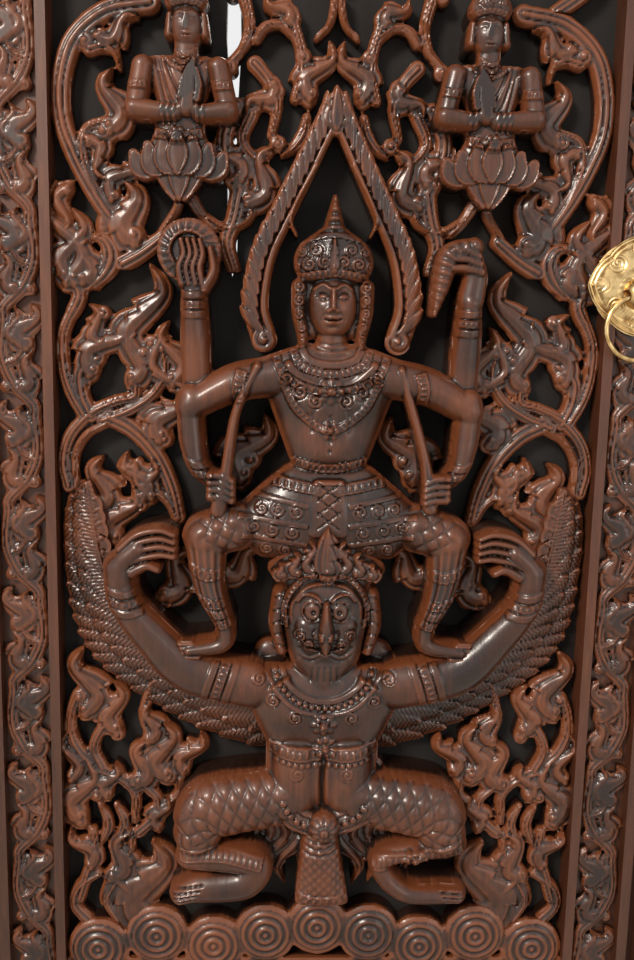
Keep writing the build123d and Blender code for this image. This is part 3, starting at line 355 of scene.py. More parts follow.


# Finishes: grain runs up the timber (along Z), or along X where the timber lies; a carved piece has painted
# shade in its hollows and is worn paler on its ridges, read from the hollow attribute that newMesh() stores
woodLooks = {
    "frame_wood": {"dark": (0.028, 0.009, 0.005), "light": (0.17, 0.054, 0.022), "gloss": 0.42,
                   "varnish": 0.2},
    "leaf_wood": {"dark": (0.03, 0.01, 0.005), "light": (0.21, 0.066, 0.026), "gloss": 0.4,
                  "varnish": 0.25},
    # board_wood: the boards' own dark stain, made near black as painted shade for the deep gaps behind the
    # carving
    "board_wood": {"dark": (0.004, 0.003, 0.002), "light": (0.012, 0.006, 0.004), "gloss": 0.8,
                   "varnish": 0.0},
    "border_wood": {"dark": (0.018, 0.007, 0.004), "light": (0.17, 0.052, 0.02), "gloss": 0.38,
                    "varnish": 0.3},
    "scroll_wood": {"dark": (0.02, 0.007, 0.004), "light": (0.2, 0.06, 0.021), "gloss": 0.36,
                    "varnish": 0.3},
    "figure_wood": {"dark": (0.018, 0.007, 0.004), "light": (0.16, 0.047, 0.017), "gloss": 0.33,
                    "varnish": 0.3},
}
flatWoods = ("frame_wood", "leaf_wood", "board_wood")      # their patches are drawn out along the grain
flatPatches = {"strength": 0.8, "stretch": (1.0, 1.0, 0.2)}
carvedPatches = {"strength": 1.7, "stretch": (1.0, 1.0, 1.0)}
grain = {"stretch": (1.0, 1.0, 0.09), "scale": 260.0, "twist": 0.6, "fineShare": 0.55, "patchScale": 11.0,
         "level": 0.32, "darkAt": 0.3, "middleAt": 0.68, "middle": 0.4, "glossSpan": (-0.08, 0.16),
         "varnishRough": 0.13, "bump": 0.35, "bumpHeight": 0.0006}


def newMaterial(name):
    material = bpy.data.materials.new(name)
    material.use_nodes = True
    return material, material.node_tree.nodes, material.node_tree.links


def addNode(nodes, kind, values=(), operation=None):
    # A node of one kind, with the values of its sockets given by name or number
    node = nodes.new("ShaderNode" + kind)
    if operation:
        node.operation = operation
    for socket, value in dict(values).items():
        node.inputs[socket].default_value = value
    return node


def join(links, *pairs):
    # Each pair is an output and the input that it feeds
    for output, socket in pairs:
        links.new(output, socket)


def toneRamp(nodes, *tones):
    # A colour ramp through pairs of a position and a colour
    ramp = nodes.new("ShaderNodeValToRGB")
    row = ramp.color_ramp.elements
    for element, (position, colour) in ((row[0], tones[0]), (row[1], tones[-1])):
        element.position, element.color = position, (*colour, 1)
    for position, colour in tones[1:-1]:
        row.new(position).color = (*colour, 1)
    return ramp


def makeWood(slotName, look, lies=False):
    # Fine noise drawn out along the grain, broad patches, and the painted shade of the hollows with the
    # wear of the ridges are added up, and the sum picks a tone from dark to light. The patches change the
    # gloss a little, and the fine noise is the bump
    material, nodes, links = newMaterial(slotName + ("_lying" if lies else ""))
    shader = nodes["Principled BSDF"]
    patches = flatPatches if slotName in flatWoods else carvedPatches
    order = slice(None, None, -1) if lies else slice(None)
    place = addNode(nodes, "TexCoord")
    fineTurn = addNode(nodes, "Mapping", {"Scale": grain["stretch"][order]})
    broadTurn = addNode(nodes, "Mapping", {"Scale": patches["stretch"][order]})
    fine = addNode(nodes, "TexNoise", {"Scale": grain["scale"], "Detail": 5, "Distortion": grain["twist"]})
    broad = addNode(nodes, "TexNoise", {"Scale": grain["patchScale"], "Detail": 4})
    join(links, (place.outputs["Object"], fineTurn.inputs["Vector"]),
         (fineTurn.outputs["Vector"], fine.inputs["Vector"]),
         (place.outputs["Object"], broadTurn.inputs["Vector"]),
         (broadTurn.outputs["Vector"], broad.inputs["Vector"]))

    cut = addNode(nodes, "Attribute")
    cut.attribute_name = "hollow"
    # Painted shade: the hollow attribute darkens the hollows and the foot of each wall, and pales the worn
    # ridges
    shadeAndWear = addNode(nodes, "Math", {1: -1.0, 2: grain["level"] - patches["strength"] / 2}, "MULTIPLY_ADD")
    patch = addNode(nodes, "Math", {1: patches["strength"]}, "MULTIPLY")
    mixed = addNode(nodes, "Math", {1: grain["fineShare"]}, "MULTIPLY_ADD")
    total = addNode(nodes, "Math", operation="ADD")
    join(links, (cut.outputs["Fac"], shadeAndWear.inputs[0]), (broad.outputs["Fac"], patch.inputs[0]),
         (fine.outputs["Fac"], mixed.inputs[0]), (patch.outputs[0], mixed.inputs[2]),
         (shadeAndWear.outputs[0], total.inputs[0]), (mixed.outputs[0], total.inputs[1]))

    middle = [d + grain["middle"] * (l - d) for d, l in zip(look["dark"], look["light"])]
    ramp = toneRamp(nodes, (grain["darkAt"], look["dark"]), (grain["middleAt"], middle),
                    (1.0, look["light"]))
    glossiest, dullest = (look["gloss"] + change for change in grain["glossSpan"])
    rough = addNode(nodes, "MapRange",
                    {"From Min": 0.3, "From Max": 0.7, "To Min": glossiest, "To Max": dullest})
    bump = addNode(nodes, "Bump", {"Strength": grain["bump"], "Distance": grain["bumpHeight"]})
    join(links, (total.outputs[0], ramp.inputs["Fac"]),
         (ramp.outputs["Color"], shader.inputs["Base Color"]),
         (broad.outputs["Fac"], rough.inputs["Value"]),
         (rough.outputs["Result"], shader.inputs["Roughness"]),
         (fine.outputs["Fac"], bump.inputs["Height"]), (bump.outputs["Normal"], shader.inputs["Normal"]))
    shader.inputs["Coat Weight"].default_value = look["varnish"]
    shader.inputs["Coat Roughness"].default_value = grain["varnishRough"]
    return material


metalLooks = {
    "brass": {"dark": (0.27, 0.15, 0.05), "light": (0.8, 0.57, 0.27), "rough": (0.22, 0.42), "scale": 90.0},
    "hinge_iron": {"dark": (0.02, 0.017, 0.015), "light": (0.11, 0.095, 0.085), "rough": (0.4, 0.65),
                   "scale": 140.0},
}
metalSurface = {"darkAt": 0.32, "lightAt": 0.58, "tarnish": 0.3, "bump": 0.25, "bumpHeight": 0.0004}


def makeMetal(slotName, look):
    # Metal with dull patches: one noise drives its colour, its roughness and a light bump, and a
    # chased piece is dull in its hollows too
    material, nodes, links = newMaterial(slotName)
    shader = nodes["Principled BSDF"]
    shader.inputs["Metallic"].default_value = 1.0
    place = addNode(nodes, "TexCoord")
    patches = addNode(nodes, "TexNoise", {"Scale": look["scale"], "Detail": 6})
    chased = addNode(nodes, "Attribute")
    chased.attribute_name = "hollow"
    sunk = addNode(nodes, "Math", {1: -metalSurface["tarnish"]}, "MULTIPLY_ADD")
    ramp = toneRamp(nodes, (metalSurface["darkAt"], look["dark"]), (metalSurface["lightAt"], look["light"]))
    rough = addNode(nodes, "MapRange", {"To Min": look["rough"][1], "To Max": look["rough"][0]})
    bump = addNode(nodes, "Bump",
                   {"Strength": metalSurface["bump"], "Distance": metalSurface["bumpHeight"]})
    join(links, (place.outputs["Object"], patches.inputs["Vector"]),
         (chased.outputs["Fac"], sunk.inputs[0]), (patches.outputs["Fac"], sunk.inputs[2]),
         (sunk.outputs["Value"], ramp.inputs["Fac"]), (ramp.outputs["Color"], shader.inputs["Base Color"]),
         (patches.outputs["Fac"], rough.inputs["Value"]),
         (rough.outputs["Result"], shader.inputs["Roughness"]),
         (patches.outputs["Fac"], bump.inputs["Height"]), (bump.outputs["Normal"], shader.inputs["Normal"]))
    return material


finishes = {slotName: makeWood(slotName, look) for slotName, look in woodLooks.items()}
finishes.update({slotName: makeMetal(slotName, look) for slotName, look in metalLooks.items()})
lying = {slotName: makeWood(slotName, woodLooks[slotName], True) for slotName in flatWoods}
lyingNodes = ("frame_threshold", "frame_head", "top_rail", "bottom_rail", "panel_bead_bottom",
              "panel_bead_top", "back_ledge_bottom", "back_ledge_middle", "back_ledge_top")
for row in frame["record"]["subparts"]:
    for materialSlot in frame["nodes"][row["node"]].material_slots:
        materialSlot.material = (lying if row["node"] in lyingNodes else finishes)[row["material_slot"]]
print("finishes made")

# Scrollwork: grooved stems as (points, width), flame leaves as (base, tip, width) and spiral curls as
# (centre, radius), with points (x, z) on the left half; the right half is its mirror image
scroll = {"cell": 1.6, "edge": 13.0, "stemRise": 11.0, "leafRise": 12.0, "curlRise": 10.0,
          "stemScale": 1.18, "leafScale": 1.22, "bend": 0.12, "seed": 11}
vines = {
    "middle": {"heights": (790, 1262), "stems": [
        ([(-255, 1199), (-243, 1194), (-238, 1178), (-246, 1160), (-262, 1144)], (8, 3, 14)),
        ([(-296, 1158), (-282, 1153), (-273, 1138), (-280, 1120)], (5, 14, 4)),
        ([(-280, 1122), (-291, 1095), (-291, 1062), (-284, 1034), (-270, 1008)], (12, 14)),
        ([(-262, 1006), (-272, 1030), (-272, 1055), (-254, 1070)], (14, 17)),
        ([(-288, 928), (-293, 955), (-285, 985), (-262, 1010), (-236, 1023), (-214, 1030), (-214, 1050)],
         (14, 11)),
        ([(-250, 1002), (-220, 1014), (-195, 1031), (-181, 1055), (-184, 1079), (-196, 1090)], (14, 9)),
        ([(-242, 1006), (-215, 991), (-190, 963), (-174, 928), (-166, 893)], (19, 14)),
        ([(-243, 1000), (-268, 985), (-281, 960), (-280, 928)], (9, 9)),
        ([(-268, 926), (-262, 902), (-251, 884), (-243, 866)], (12, 17)),
        ([(-206, 912), (-192, 921), (-178, 911), (-168, 890)], (11, 9)),
        ([(-178, 788), (-168, 806), (-143, 811), (-126, 800)], (9, 9))],
        "leaves": [((-286, 1150), (-294, 1256), 26), ((-277, 1150), (-278, 1228), 28),
                   ((-268, 1152), (-263, 1196), 26), ((-262, 1052), (-222, 1119), 26),
                   ((-217, 1046), (-212, 1098), 26), ((-204, 1066), (-196, 1172), 30),
                   ((-172, 1044), (-176, 1112), 24), ((-186, 983), (-166, 1036), 32),
                   ((-258, 903), (-250, 962), 28), ((-238, 866), (-216, 930), 28),
                   ((-206, 914), (-222, 968), 24), ((-196, 916), (-196, 960), 20),
                   ((-184, 802), (-152, 858), 28), ((-246, 1084), (-262, 1128), 20),
                   ((-186, 1090), (-160, 1010), 18), ((-96, 940), (-70, 1012), 34),
                   ((-118, 830), (-70, 858), 26), ((-228, 950), (-200, 930), 18)],
        "curls": [((-195, 1087), 10), ((-181, 983), 11), ((-247, 1118), 9), ((-262, 1064), 10),
                  ((-240, 876), 11), ((-208, 908), 9), ((-166, 820), 12), ((-86, 962), 13)]},
    "upper": {"heights": (1165, 1455), "stems": [
        ([(-195, 1437), (-240, 1428), (-274, 1400), (-288, 1360), (-288, 1320), (-276, 1285), (-258, 1250),
          (-236, 1218), (-212, 1192)], (19, 17)),
        ([(-243, 1318), (-262, 1310), (-268, 1288), (-261, 1262), (-246, 1232), (-226, 1206)], (10, 14)),
        ([(-258, 1390), (-243, 1393), (-231, 1386), (-226, 1369)], (14, 4)),
        ([(-226, 1172), (-205, 1184), (-180, 1203)], (18, 14)),
        ([(-163, 1246), (-168, 1230), (-182, 1208)], (9, 9)),
        ([(-135, 1222), (-120, 1213), (-104, 1213), (-90, 1222), (-86, 1240)], (8, 9)),
        ([(-152, 1242), (-142, 1226), (-128, 1210)], (12, 8)),
        ([(-52, 1437), (-46, 1420), (-38, 1395), (-37, 1370), (-43, 1346)], (12, 10)),
        ([(-85, 1404), (-75, 1417), (-60, 1420), (-46, 1410)], (9, 9)),
        ([(-86, 1380), (-72, 1364), (-62, 1340), (-68, 1308)], (15, 8)),
        ([(-30, 1328), (-34, 1310), (-44, 1296), (-56, 1287)], (9, 4, 6)),
        ([(-2, 1450), (-8, 1422), (-22, 1406)], (9, 5)),
        ([(-98, 1448), (-92, 1420), (-98, 1396), (-112, 1380)], (12, 8)),
        ([(-104, 1338), (-117, 1306), (-112, 1276), (-100, 1252)], (15, 19)),
        ([(-100, 1252), (-106, 1222), (-114, 1196), (-106, 1168)], (19, 13)),
        ([(-88, 1330), (-98, 1304), (-84, 1284), (-70, 1290)], (13, 9))],
        "leaves": [((-238, 1308), (-234, 1371), 26), ((-212, 1196), (-221, 1256), 38),
                   ((-92, 1238), (-64, 1297), 24), ((-27, 1346), (-8, 1404), 22),
                   ((-100, 1262), (-128, 1300), 24), ((-262, 1300), (-240, 1258), 18),
                   ((-250, 1402), (-206, 1420), 20), ((-66, 1360), (-94, 1330), 20),
                   ((-50, 1420), (-74, 1448), 18), ((-236, 1238), (-204, 1290), 20),
                   ((-282, 1250), (-292, 1200), 18)],
        "curls": [((-262, 1397), 10), ((-244, 1308), 10), ((-93, 1243), 9), ((-35, 1388), 9),
                  ((-60, 1300), 9), ((-112, 1376), 9), ((-216, 1200), 12), ((-108, 1262), 9)]},
    "lower": {"heights": (panelLow, 800), "stems": [
        ([(-268, 600), (-283, 616), (-292, 640), (-290, 665), (-283, 684)], (14, 11)),
        ([(-255, 593), (-265, 617), (-257, 640), (-243, 656)], (12, 11)),
        ([(-190, 545), (-168, 560), (-165, 580)], (11, 10)),
        ([(-214, 512), (-196, 530), (-190, 553), (-206, 572)], (13, 11)),
        ([(-264, 592), (-235, 581), (-217, 560), (-218, 528)], (15, 9)),
        ([(-285, 428), (-275, 460), (-265, 488), (-268, 514)], (13, 11)),
        ([(-258, 547), (-249, 524), (-258, 498)], (6, 5, 7)),
        ([(-240, 548), (-230, 525), (-240, 500)], (6, 5, 7)),
        ([(-272, 394), (-291, 419), (-285, 443), (-262, 460)], (14, 10)),
        ([(-240, 400), (-252, 425), (-240, 452)], (11, 10)),
        ([(-198, 700), (-208, 660), (-200, 632)], (9, 9)),
        ([(-232, 470), (-222, 500), (-232, 530)], (10, 7))],
        "leaves": [((-274, 662), (-275, 741), 27), ((-238, 640), (-240, 700), 24),
                   ((-202, 628), (-198, 676), 22), ((-180, 583), (-183, 651), 28),
                   ((-214, 575), (-205, 628), 28), ((-282, 528), (-272, 603), 30),
                   ((-247, 455), (-225, 513), 28), ((-205, 396), (-196, 503), 50),
                   ((-292, 580), (-294, 640), 18), ((-250, 560), (-240, 600), 22),
                   ((-270, 470), (-292, 520), 20), ((-160, 590), (-140, 640), 22),
                   ((-230, 420), (-232, 466), 22), ((-190, 520), (-180, 560), 20)],
        "curls": [((-280, 682), 10), ((-237, 636), 9), ((-177, 584), 11), ((-218, 576), 11),
                  ((-281, 527), 10), ((-245, 458), 11), ((-205, 398), 15), ((-160, 612), 10),
                  ((-262, 560), 9)]},
    "crown": {"heights": (1440, panelHigh), "stems": [
        ([(0, 1470), (-30, 1500), (-40, 1540), (-22, 1580), (0, 1600)], (14, 12)),
        ([(-230, 1440), (-268, 1470), (-284, 1515), (-270, 1560), (-232, 1584), (-195, 1572)], (15, 10)),
        ([(-110, 1450), (-92, 1490), (-100, 1530), (-132, 1552), (-160, 1540)], (13, 8)),
        ([(-286, 1520), (-290, 1580), (-272, 1640), (-230, 1668), (-186, 1652)], (13, 10)),
        ([(-10, 1600), (-60, 1610), (-104, 1640), (-118, 1690), (-96, 1732), (-60, 1738)], (14, 9)),
        ([(-284, 1610), (-292, 1670), (-270, 1722), (-226, 1744), (-184, 1728)], (13, 9))],
        "leaves": [((-4, 1596), (0, 1700), 42), ((-206, 1560), (-222, 1520), 28),
                   ((-62, 1500), (-66, 1580), 32), ((-150, 1560), (-160, 1630), 34),
                   ((-200, 1640), (-220, 1600), 26), ((-70, 1716), (-66, 1668), 28),
                   ((-160, 1660), (-150, 1726), 32), ((-200, 1716), (-214, 1688), 24),
                   ((-246, 1480), (-240, 1540), 24), ((-40, 1640), (-30, 1700), 26),
                   ((-250, 1690), (-240, 1640), 22)],
        "curls": [((-194, 1566), 11), ((-160, 1534), 10), ((-186, 1645), 11), ((-60, 1732), 11),
                  ((-184, 1722), 10), ((-34, 1504), 10), ((-110, 1650), 9)]},
}


def turned(point, side):
    # The point itself for the left side (-1), its mirror image for the right (+1)
    return (-side * point[0], point[1])


for zone, vine in vines.items():
    for side, word in ((-1, "left"), (1, "right")):
        span = (-panelHalf, 1) if side < 0 else (-1, panelHalf)
        sheet = startRelief(span, vine["heights"], scroll["cell"])
        for points, width in vine["stems"]:
            ribbon(sheet, [turned(p, side) for p in points], [scroll["stemScale"] * w for w in width],
                   scroll["edge"], scroll["stemRise"], twoFurrows)
        for number, (base, tip, width) in enumerate(vine["leaves"]):
            hand = side * (1 if number % 2 else -1)
            flameLeaf(sheet, turned(base, side), turned(tip, side), scroll["leafScale"] * width,
                      scroll["edge"], scroll["leafRise"], scroll["bend"] * hand, 3 + number % 2)
        for number, (centre, radius) in enumerate(vine["curls"]):
            hand = side * (1 if number % 2 else -1)
            volute(sheet, turned(centre, side), radius, scroll["edge"] + 2, scroll["curlRise"], hand)
        roughen(sheet, scroll["seed"] + len(word))
        carve(sheet, "vine_" + zone + "_" + word, "scrollwork_" + zone + "_" + word, "scroll_wood",
              boardFace)
print("scrollwork carved")

# Borders: a running stem that swings from side to side, a curl and three flame leaves at each swing.
# Points are (share of the swing, share of the unit's height), with the swing towards positive values. A
# leaf is (base, tip, width, extra rise, bend, barbs), a curl is (centre, radius, extra edge, turn), and
# the tool marks are (seed, size, depth)
border = {"cell": 1.6, "toolMarks": (21, 8, 0.25), "unit": 105.0, "units": 17, "swing": 18.0, "edge": 4.5,
          "rise": 7.5, "stemWidth": (12.5, 12.5, 3),
          "stem": [(-0.8, -0.15), (-0.8, 0), (0.3, 0.2), (1, 0.5), (0.85, 0.85), (0.8, 1), (-0.3, 1.2)],
          "branch": [(0.95, 0.42), (0.1, 0.48), (-0.35, 0.62)], "branchWidth": (11, 9),
          "leaves": [((-0.5, 0.6), (-0.85, 1.04), 31, 1, 0.15, 3),
                     ((-0.1, 0.16), (-0.8, 0.54), 27, 0, -0.1, 3),
                     ((0.3, 0.66), (0.1, 0.99), 22, 0, 0.1, 2)],
          "curls": [((-0.35, 0.62), 9.5, 1, 1), ((0.8, 0.18), 7, 0, -1)]}
for side, word in ((-1, "left"), (1, "right")):
    innerBead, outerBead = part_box("inner_bead_" + word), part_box("outer_bead_" + word)
    low, high = innerBead[0][2] / mm, innerBead[1][2] / mm
    first = (low + high - border["unit"] * border["units"]) / 2
    inner, outer = sorted((innerBead[1 if side > 0 else 0][0] / mm,
                           outerBead[0 if side > 0 else 1][0] / mm), key=abs)
    middle = (inner + outer) / 2
    sheet = startRelief(sorted((inner, outer)), (low, high), border["cell"])
    for unit in range(border["units"]):
        z = first + unit * border["unit"]
        hand = side * (1 if unit % 2 else -1)
        at = lambda point: (middle + hand * border["swing"] * point[0], z + border["unit"] * point[1])
        ribbon(sheet, [at(p) for p in border["stem"]], border["stemWidth"], border["edge"], border["rise"],
               twoFurrows)
        ribbon(sheet, [at(p) for p in border["branch"]], border["branchWidth"], border["edge"],
               border["rise"], twoFurrows)
        for base, tip, width, prouder, bend, barbs in border["leaves"]:
            flameLeaf(sheet, at(base), at(tip), width, border["edge"], border["rise"] + prouder,
                      bend * hand, barbs)
        for centre, radius, higher, turn in border["curls"]:
            volute(sheet, at(centre), radius, border["edge"] + higher, border["rise"], turn * hand)
    roughen(sheet, *border["toolMarks"])
    carve(sheet, "border_vine_" + word, "border_carving_" + word, "border_wood", stileFace)
print("borders carved")

# Cloud band: a plain plinth with overlapping round scrolls along its top, and a row of leaves on it
cloud = {"cell": 1.8, "seed": 31, "plinth": 352.0, "top": 440.0, "edge": 22.0, "radius": 37.0, "dome": 8.0,
         "lap": 0.35, "ringPitch": 9.0, "ringDepth": 1.5, "ringReach": 31.0,
         "places": [(262, 366), (124, 370), (192, 384), (62, 386), (0, 396)],
         "leaves": 14, "leafPitch": 42.0, "leafFoot": 296.0, "leafTip": 344.0, "leafWidth": 34.0}
sheet = startRelief((-panelHalf, panelHalf), (panelLow, cloud["top"]), cloud["cell"])
whole = (slice(None), slice(None))
lay(sheet, whole, cloud["plinth"] - sheet["z"], np.full(sheet["x"].shape, cloud["edge"] + 2.0))
places = [(side * x, z) for x, z in cloud["places"] for side in (-1, 1) if x or side > 0]
for number, (x, z) in enumerate(places):
    r = np.hypot(sheet["x"] - x, sheet["z"] - z)
    rings = cloud["ringDepth"] * np.cos(2 * np.pi * r / cloud["ringPitch"]) * (r < cloud["ringReach"])
    dome = cloud["dome"] * np.sqrt(np.clip(1 - (r / cloud["radius"]) ** 2, 0, 1))
    lay(sheet, whole, cloud["radius"] - r, cloud["edge"] + number * cloud["lap"] + dome + rings)
for number in range(cloud["leaves"]):
    x = (number - (cloud["leaves"] - 1) / 2) * cloud["leafPitch"]
    lean = 10 if x < 0 else -10
    flameLeaf(sheet, (x, cloud["leafFoot"]), (x + lean, cloud["leafTip"]), cloud["leafWidth"],
              cloud["edge"] + 1.5, 5, 0.2 * np.sign(-x), 2)
roughen(sheet, cloud["seed"])
carve(sheet, "cloud_scrolls", "cloud_base", "scroll_wood", boardFace)

# Flame arch: lapping feathers along the outside, a plain fillet inside that steps in to a spur, a
# pointed leaf at the top and a curled foot on each side
arch = {"cell": 1.3, "x": (-110, 110), "z": (1076, 1358), "toolMarks": (41, 6, 0.2), "edge": 34.0,
        "width": (28, 18), "pitch": 13.5, "featherWidth": (9, 3, 6),
        "line": [(-74, 1100), (-81, 1125), (-79, 1155), (-71, 1188), (-55, 1222), (-31, 1270), (-9, 1315),
                 (0, 1337)], "feather": [(1, -9), (6, 1), (11.5, 13), (14, 20)],
        "spur": [(-20, 1276), (-41, 1236), (-45, 1218), (-39, 1203)], "spurWidth": (7, 3),
        "foot": (-72, 1094), "footRadius": 14.0, "base": 1314}


def archFillet(side):
    # A round rod along the inner edge, a furrow beside it, and a lower field for the feathers
    def section(u, share, along):
        rod = 2.2 * np.sqrt(np.clip(1 - ((u * side + 0.66) / 0.34) ** 2, 0, 1))
        return np.where(u * side > -0.3, -2.6, rod) - 2.5 * groove(u * side, -0.3, 0.09)
    return section


def featherLines(side):
    # Three fine furrows along a feather that is tipped to one edge
    def section(u, share, along):
        furrows = groove(side * u, -0.45, 0.14) + groove(side * u, 0, 0.14) + groove(side * u, 0.45, 0.14)
        return 1.8 * side * u - furrows
    return section


sheet = startRelief(arch["x"], arch["z"], arch["cell"])
for side in (-1, 1):
    points = [turned(p, side) for p in arch["line"]]
    ribbon(sheet, points, arch["width"], arch["edge"], 7, archFillet(-side))
    ribbon(sheet, [turned(p, side) for p in arch["spur"]], arch["spurWidth"], arch["edge"] + 2, 7)
    line = smoothLine(points, 1.0)
    ahead = np.gradient(line, axis=0)
    ahead = ahead / np.hypot(*ahead.T)[:, None]
    outwards = ahead[:, ::-1] * (1, -1) * side
    run = lengthAlong(line)
    for place in np.arange(run[-1] - 12, 4, -arch["pitch"]):
        here = np.searchsorted(run, place)
        feather = [line[here] + out * outwards[here] + on * ahead[here] for out, on in arch["feather"]]
        ribbon(sheet, feather, arch["featherWidth"], arch["edge"] + 3.5, 4.5, featherLines(side))
    volute(sheet, turned(arch["foot"], side), arch["footRadius"], arch["edge"] + 1, 8, side)
    flameLeaf(sheet, (side * 4, arch["base"] + 2), (side * 13, arch["base"] + 26), 15, arch["edge"] + 1, 7,
              0.1 * side, 2)
flameLeaf(sheet, (0, arch["base"]), (0, arch["base"] + 41), 24, arch["edge"] + 3, 8, 0, 0)
roughen(sheet, *arch["toolMarks"])
carve(sheet, "arch_flames", "flame_arch", "scroll_wood", boardFace)
print("clouds and arch carved")

# Wings: a flat outer tier and a bold inner one, each feather tipped so that it laps over the last. A
# tier's feathers run from one share of the way from rim to arm to another; sweep leans their roots
wing = {"cell": 1.15, "x": (52, 300), "z": (612, 936), "toolMarks": (51, 6, 0.2), "edge": 21.0, "rise": 3.5,
        "lap": 2.5, "armWidth": (9, 16),
        "rim": [(-266, 931), (-284, 915), (-291, 880), (-290, 830), (-285, 785), (-272, 748), (-250, 718),
                (-215, 690), (-175, 664), (-130, 641), (-60, 618)],
        "arm": [(-266, 931), (-263, 912), (-258, 885), (-252, 850), (-240, 815), (-222, 782), (-200, 754),
                (-172, 728), (-142, 708), (-108, 692), (-60, 670)],
        "tiers": [{"tip": 0.0, "root": 0.6, "count": 22, "width": 22.0, "lift": -4.0, "sweep": 0.05},
                  {"tip": 0.4, "root": 1.1, "count": 20, "width": 26.0, "lift": 4.5, "sweep": 0.12}]}


def barbs(side):
    # Fine lines that slant back from the quill, on a vane that tips to one edge
    return lambda u, share, along: 3.8 * side * u + 0.75 * np.cos(
        2 * np.pi * (along / 5.0 + 1.1 * np.abs(side * u - 0.2)))


for side, word in ((-1, "left"), (1, "right")):
    sheet = startRelief(sorted(side * x for x in wing["x"]), wing["z"], wing["cell"])
    rim = smoothLine([turned(p, side) for p in wing["rim"]], 1.0)
    arm = smoothLine([turned(p, side) for p in wing["arm"]], 1.0)
    at = lambda line, share: line[int(np.clip(share, 0, 1) * (len(line) - 1))]
    inset = lambda share, draw: at(rim, share) * (1 - draw) + at(arm, share) * draw
    for tier in wing["tiers"]:
        for number in range(tier["count"], -1, -1):
            share = number / tier["count"]
            root = inset(share + tier["sweep"], min(tier["root"], 1.05))
            bend = inset(share + 0.75 * tier["sweep"], (tier["tip"] + tier["root"]) / 2)
            tip = inset(share - 0.03, tier["tip"])
            edge = wing["edge"] + tier["lift"] + wing["lap"] * (tier["count"] - number) / tier["count"]
            ribbon(sheet, [root, bend, tip], (tier["width"], tier["width"] * 0.5, tier["width"] * 0.25),
                   edge, wing["rise"], barbs(side))
    ribbon(sheet, [turned(p, side) for p in wing["arm"]], wing["armWidth"], wing["edge"] + 9, 4, twoFurrows)
    roughen(sheet, *wing["toolMarks"])
    carve(sheet, "feathers_" + word, "wing_" + word, "figure_wood", boardFace)
print("wings carved")

# Helpers for figures: rounded blocks, then straps, beads, curls and petals added onto what is there


def block(relief, circles, edge, reach, pattern=None, blend=4.0):
    # The rounded outline drawn tight about its circles; the height is a quarter circle in from the rim
    circles = np.asarray(circles, float)
    middles, radii = circles[:, :2], circles[:, 2:]
    area = window(relief, (middles - radii).min(axis=0), (middles + radii).max(axis=0))
    x, z = relief["x"][area], relief["z"][area]
    turns = np.linspace(0, 2 * np.pi, 72, endpoint=False)
    nx, nz = np.cos(turns), np.sin(turns)
    far = (circles[:, :1] * nx + circles[:, 1:2] * nz + radii).max(axis=0)
    cover = (far - x[..., None] * nx - z[..., None] * nz).min(axis=-1)
    share = np.clip(cover / max(cover.max(), 1), 0, 1)
    height = edge + reach * np.sqrt(1 - 0.97 * (1 - share) ** 2)
    if pattern:
        height = height + pattern(x, z)
    lay(relief, area, cover, height, blend)


def flipped(points, side):
    # The points or circles as listed on the right (+1), or their mirror image (-1)
    return [(side * point[0], *point[1:]) for point in points]


def bothSides(points):
    # The points or circles of the right side and their mirror images
    return points + flipped(points, -1)


def sag(x, z, half, drop):
    # Three points of a band that hangs between two level ends; with a negative drop it arches
    return [(x - half, z), (x, z - drop), (x + half, z)]


def ring(x, z, radius, turns):
    # Points round a circle
    return [(x + radius * np.cos(a), z + radius * np.sin(a)) for a in turns]


def strap(relief, points, width, rise, section=None):
    # A raised flat band with square ends
    line = smoothLine(points, 2.0)
    area, share, along, off = follow(relief, line, width / 2 + 2)
    u = off / (width / 2)
    top = rise * np.clip(1 - u**8, 0, 1)
    if section:
        top = top + section(u, share, along)
    relief["height"][area] += np.where((np.abs(u) < 1) & (share > 0) & (share < 1), top, 0)


def bead(relief, centre, radius, rise):
    # A round bead: half an egg with a furrow about its foot
    area, dx, dz = around(relief, centre, radius)
    q = (dx**2 + dz**2) / radius**2
    dome, foot = np.sqrt(np.clip(1 - q, 0, 1)), np.exp(-((np.sqrt(q) - 1.1) / 0.25) ** 2)
    relief["height"][area] += rise * dome - 0.6 * foot


def dots(relief, points, pitch, radius, rise):
    # Round beads threaded along a curve
    line = smoothLine(points, 1.0)
    run = lengthAlong(line)
    for along in np.arange(pitch / 2, run[-1], pitch):
        bead(relief, (np.interp(along, run, line[:, 0]), np.interp(along, run, line[:, 1])), radius, rise)


def curl(relief, centre, radius, rise, turn=1):
    # A raised round curl with a spiral furrow
    area, dx, dz = around(relief, centre, radius)
    r = np.hypot(dx, dz) / radius
    phase = (r / 0.55 - turn * np.arctan2(dz, dx) / (2 * np.pi)) % 1
    dome = rise * np.sqrt(np.clip(1 - r**2, 0, 1))
    relief["height"][area] += (r < 1) * (dome - 0.8 * rise * np.exp(-(((phase - 0.5) / 0.17) ** 2)))


def flower(relief, centre, radius, rise, petals):
    # Round petals about a button: the rim swings in and out once for each petal
    area, dx, dz = around(relief, centre, 1.2 * radius)
    angle, r = np.arctan2(dz, dx), np.hypot(dx, dz) / radius
    swing = np.abs(np.cos(petals * angle / 2))
    leaf = rise * np.sqrt(np.clip(1 - (r / (0.82 + 0.18 * swing)) ** 2, 0, 1)) * (0.65 + 0.35 * swing)
    button = 0.9 * rise * np.sqrt(np.clip(1 - (r / 0.33) ** 2, 0, 1))
    button = button - 0.7 * np.exp(-(((r - 0.4) / 0.07) ** 2))
    relief["height"][area] += leaf + button * (r < 0.6)


def beadRow(pitch, tall):
    # Beads inside a band: a row of bumps between two plain edges
    def section(u, share, along):
        bumps = tall * np.clip(np.cos(2 * np.pi * along / pitch), 0, 1)
        return bumps * (np.abs(u) < 0.45) + 0.9 * (np.abs(u) > 0.66)
    return section


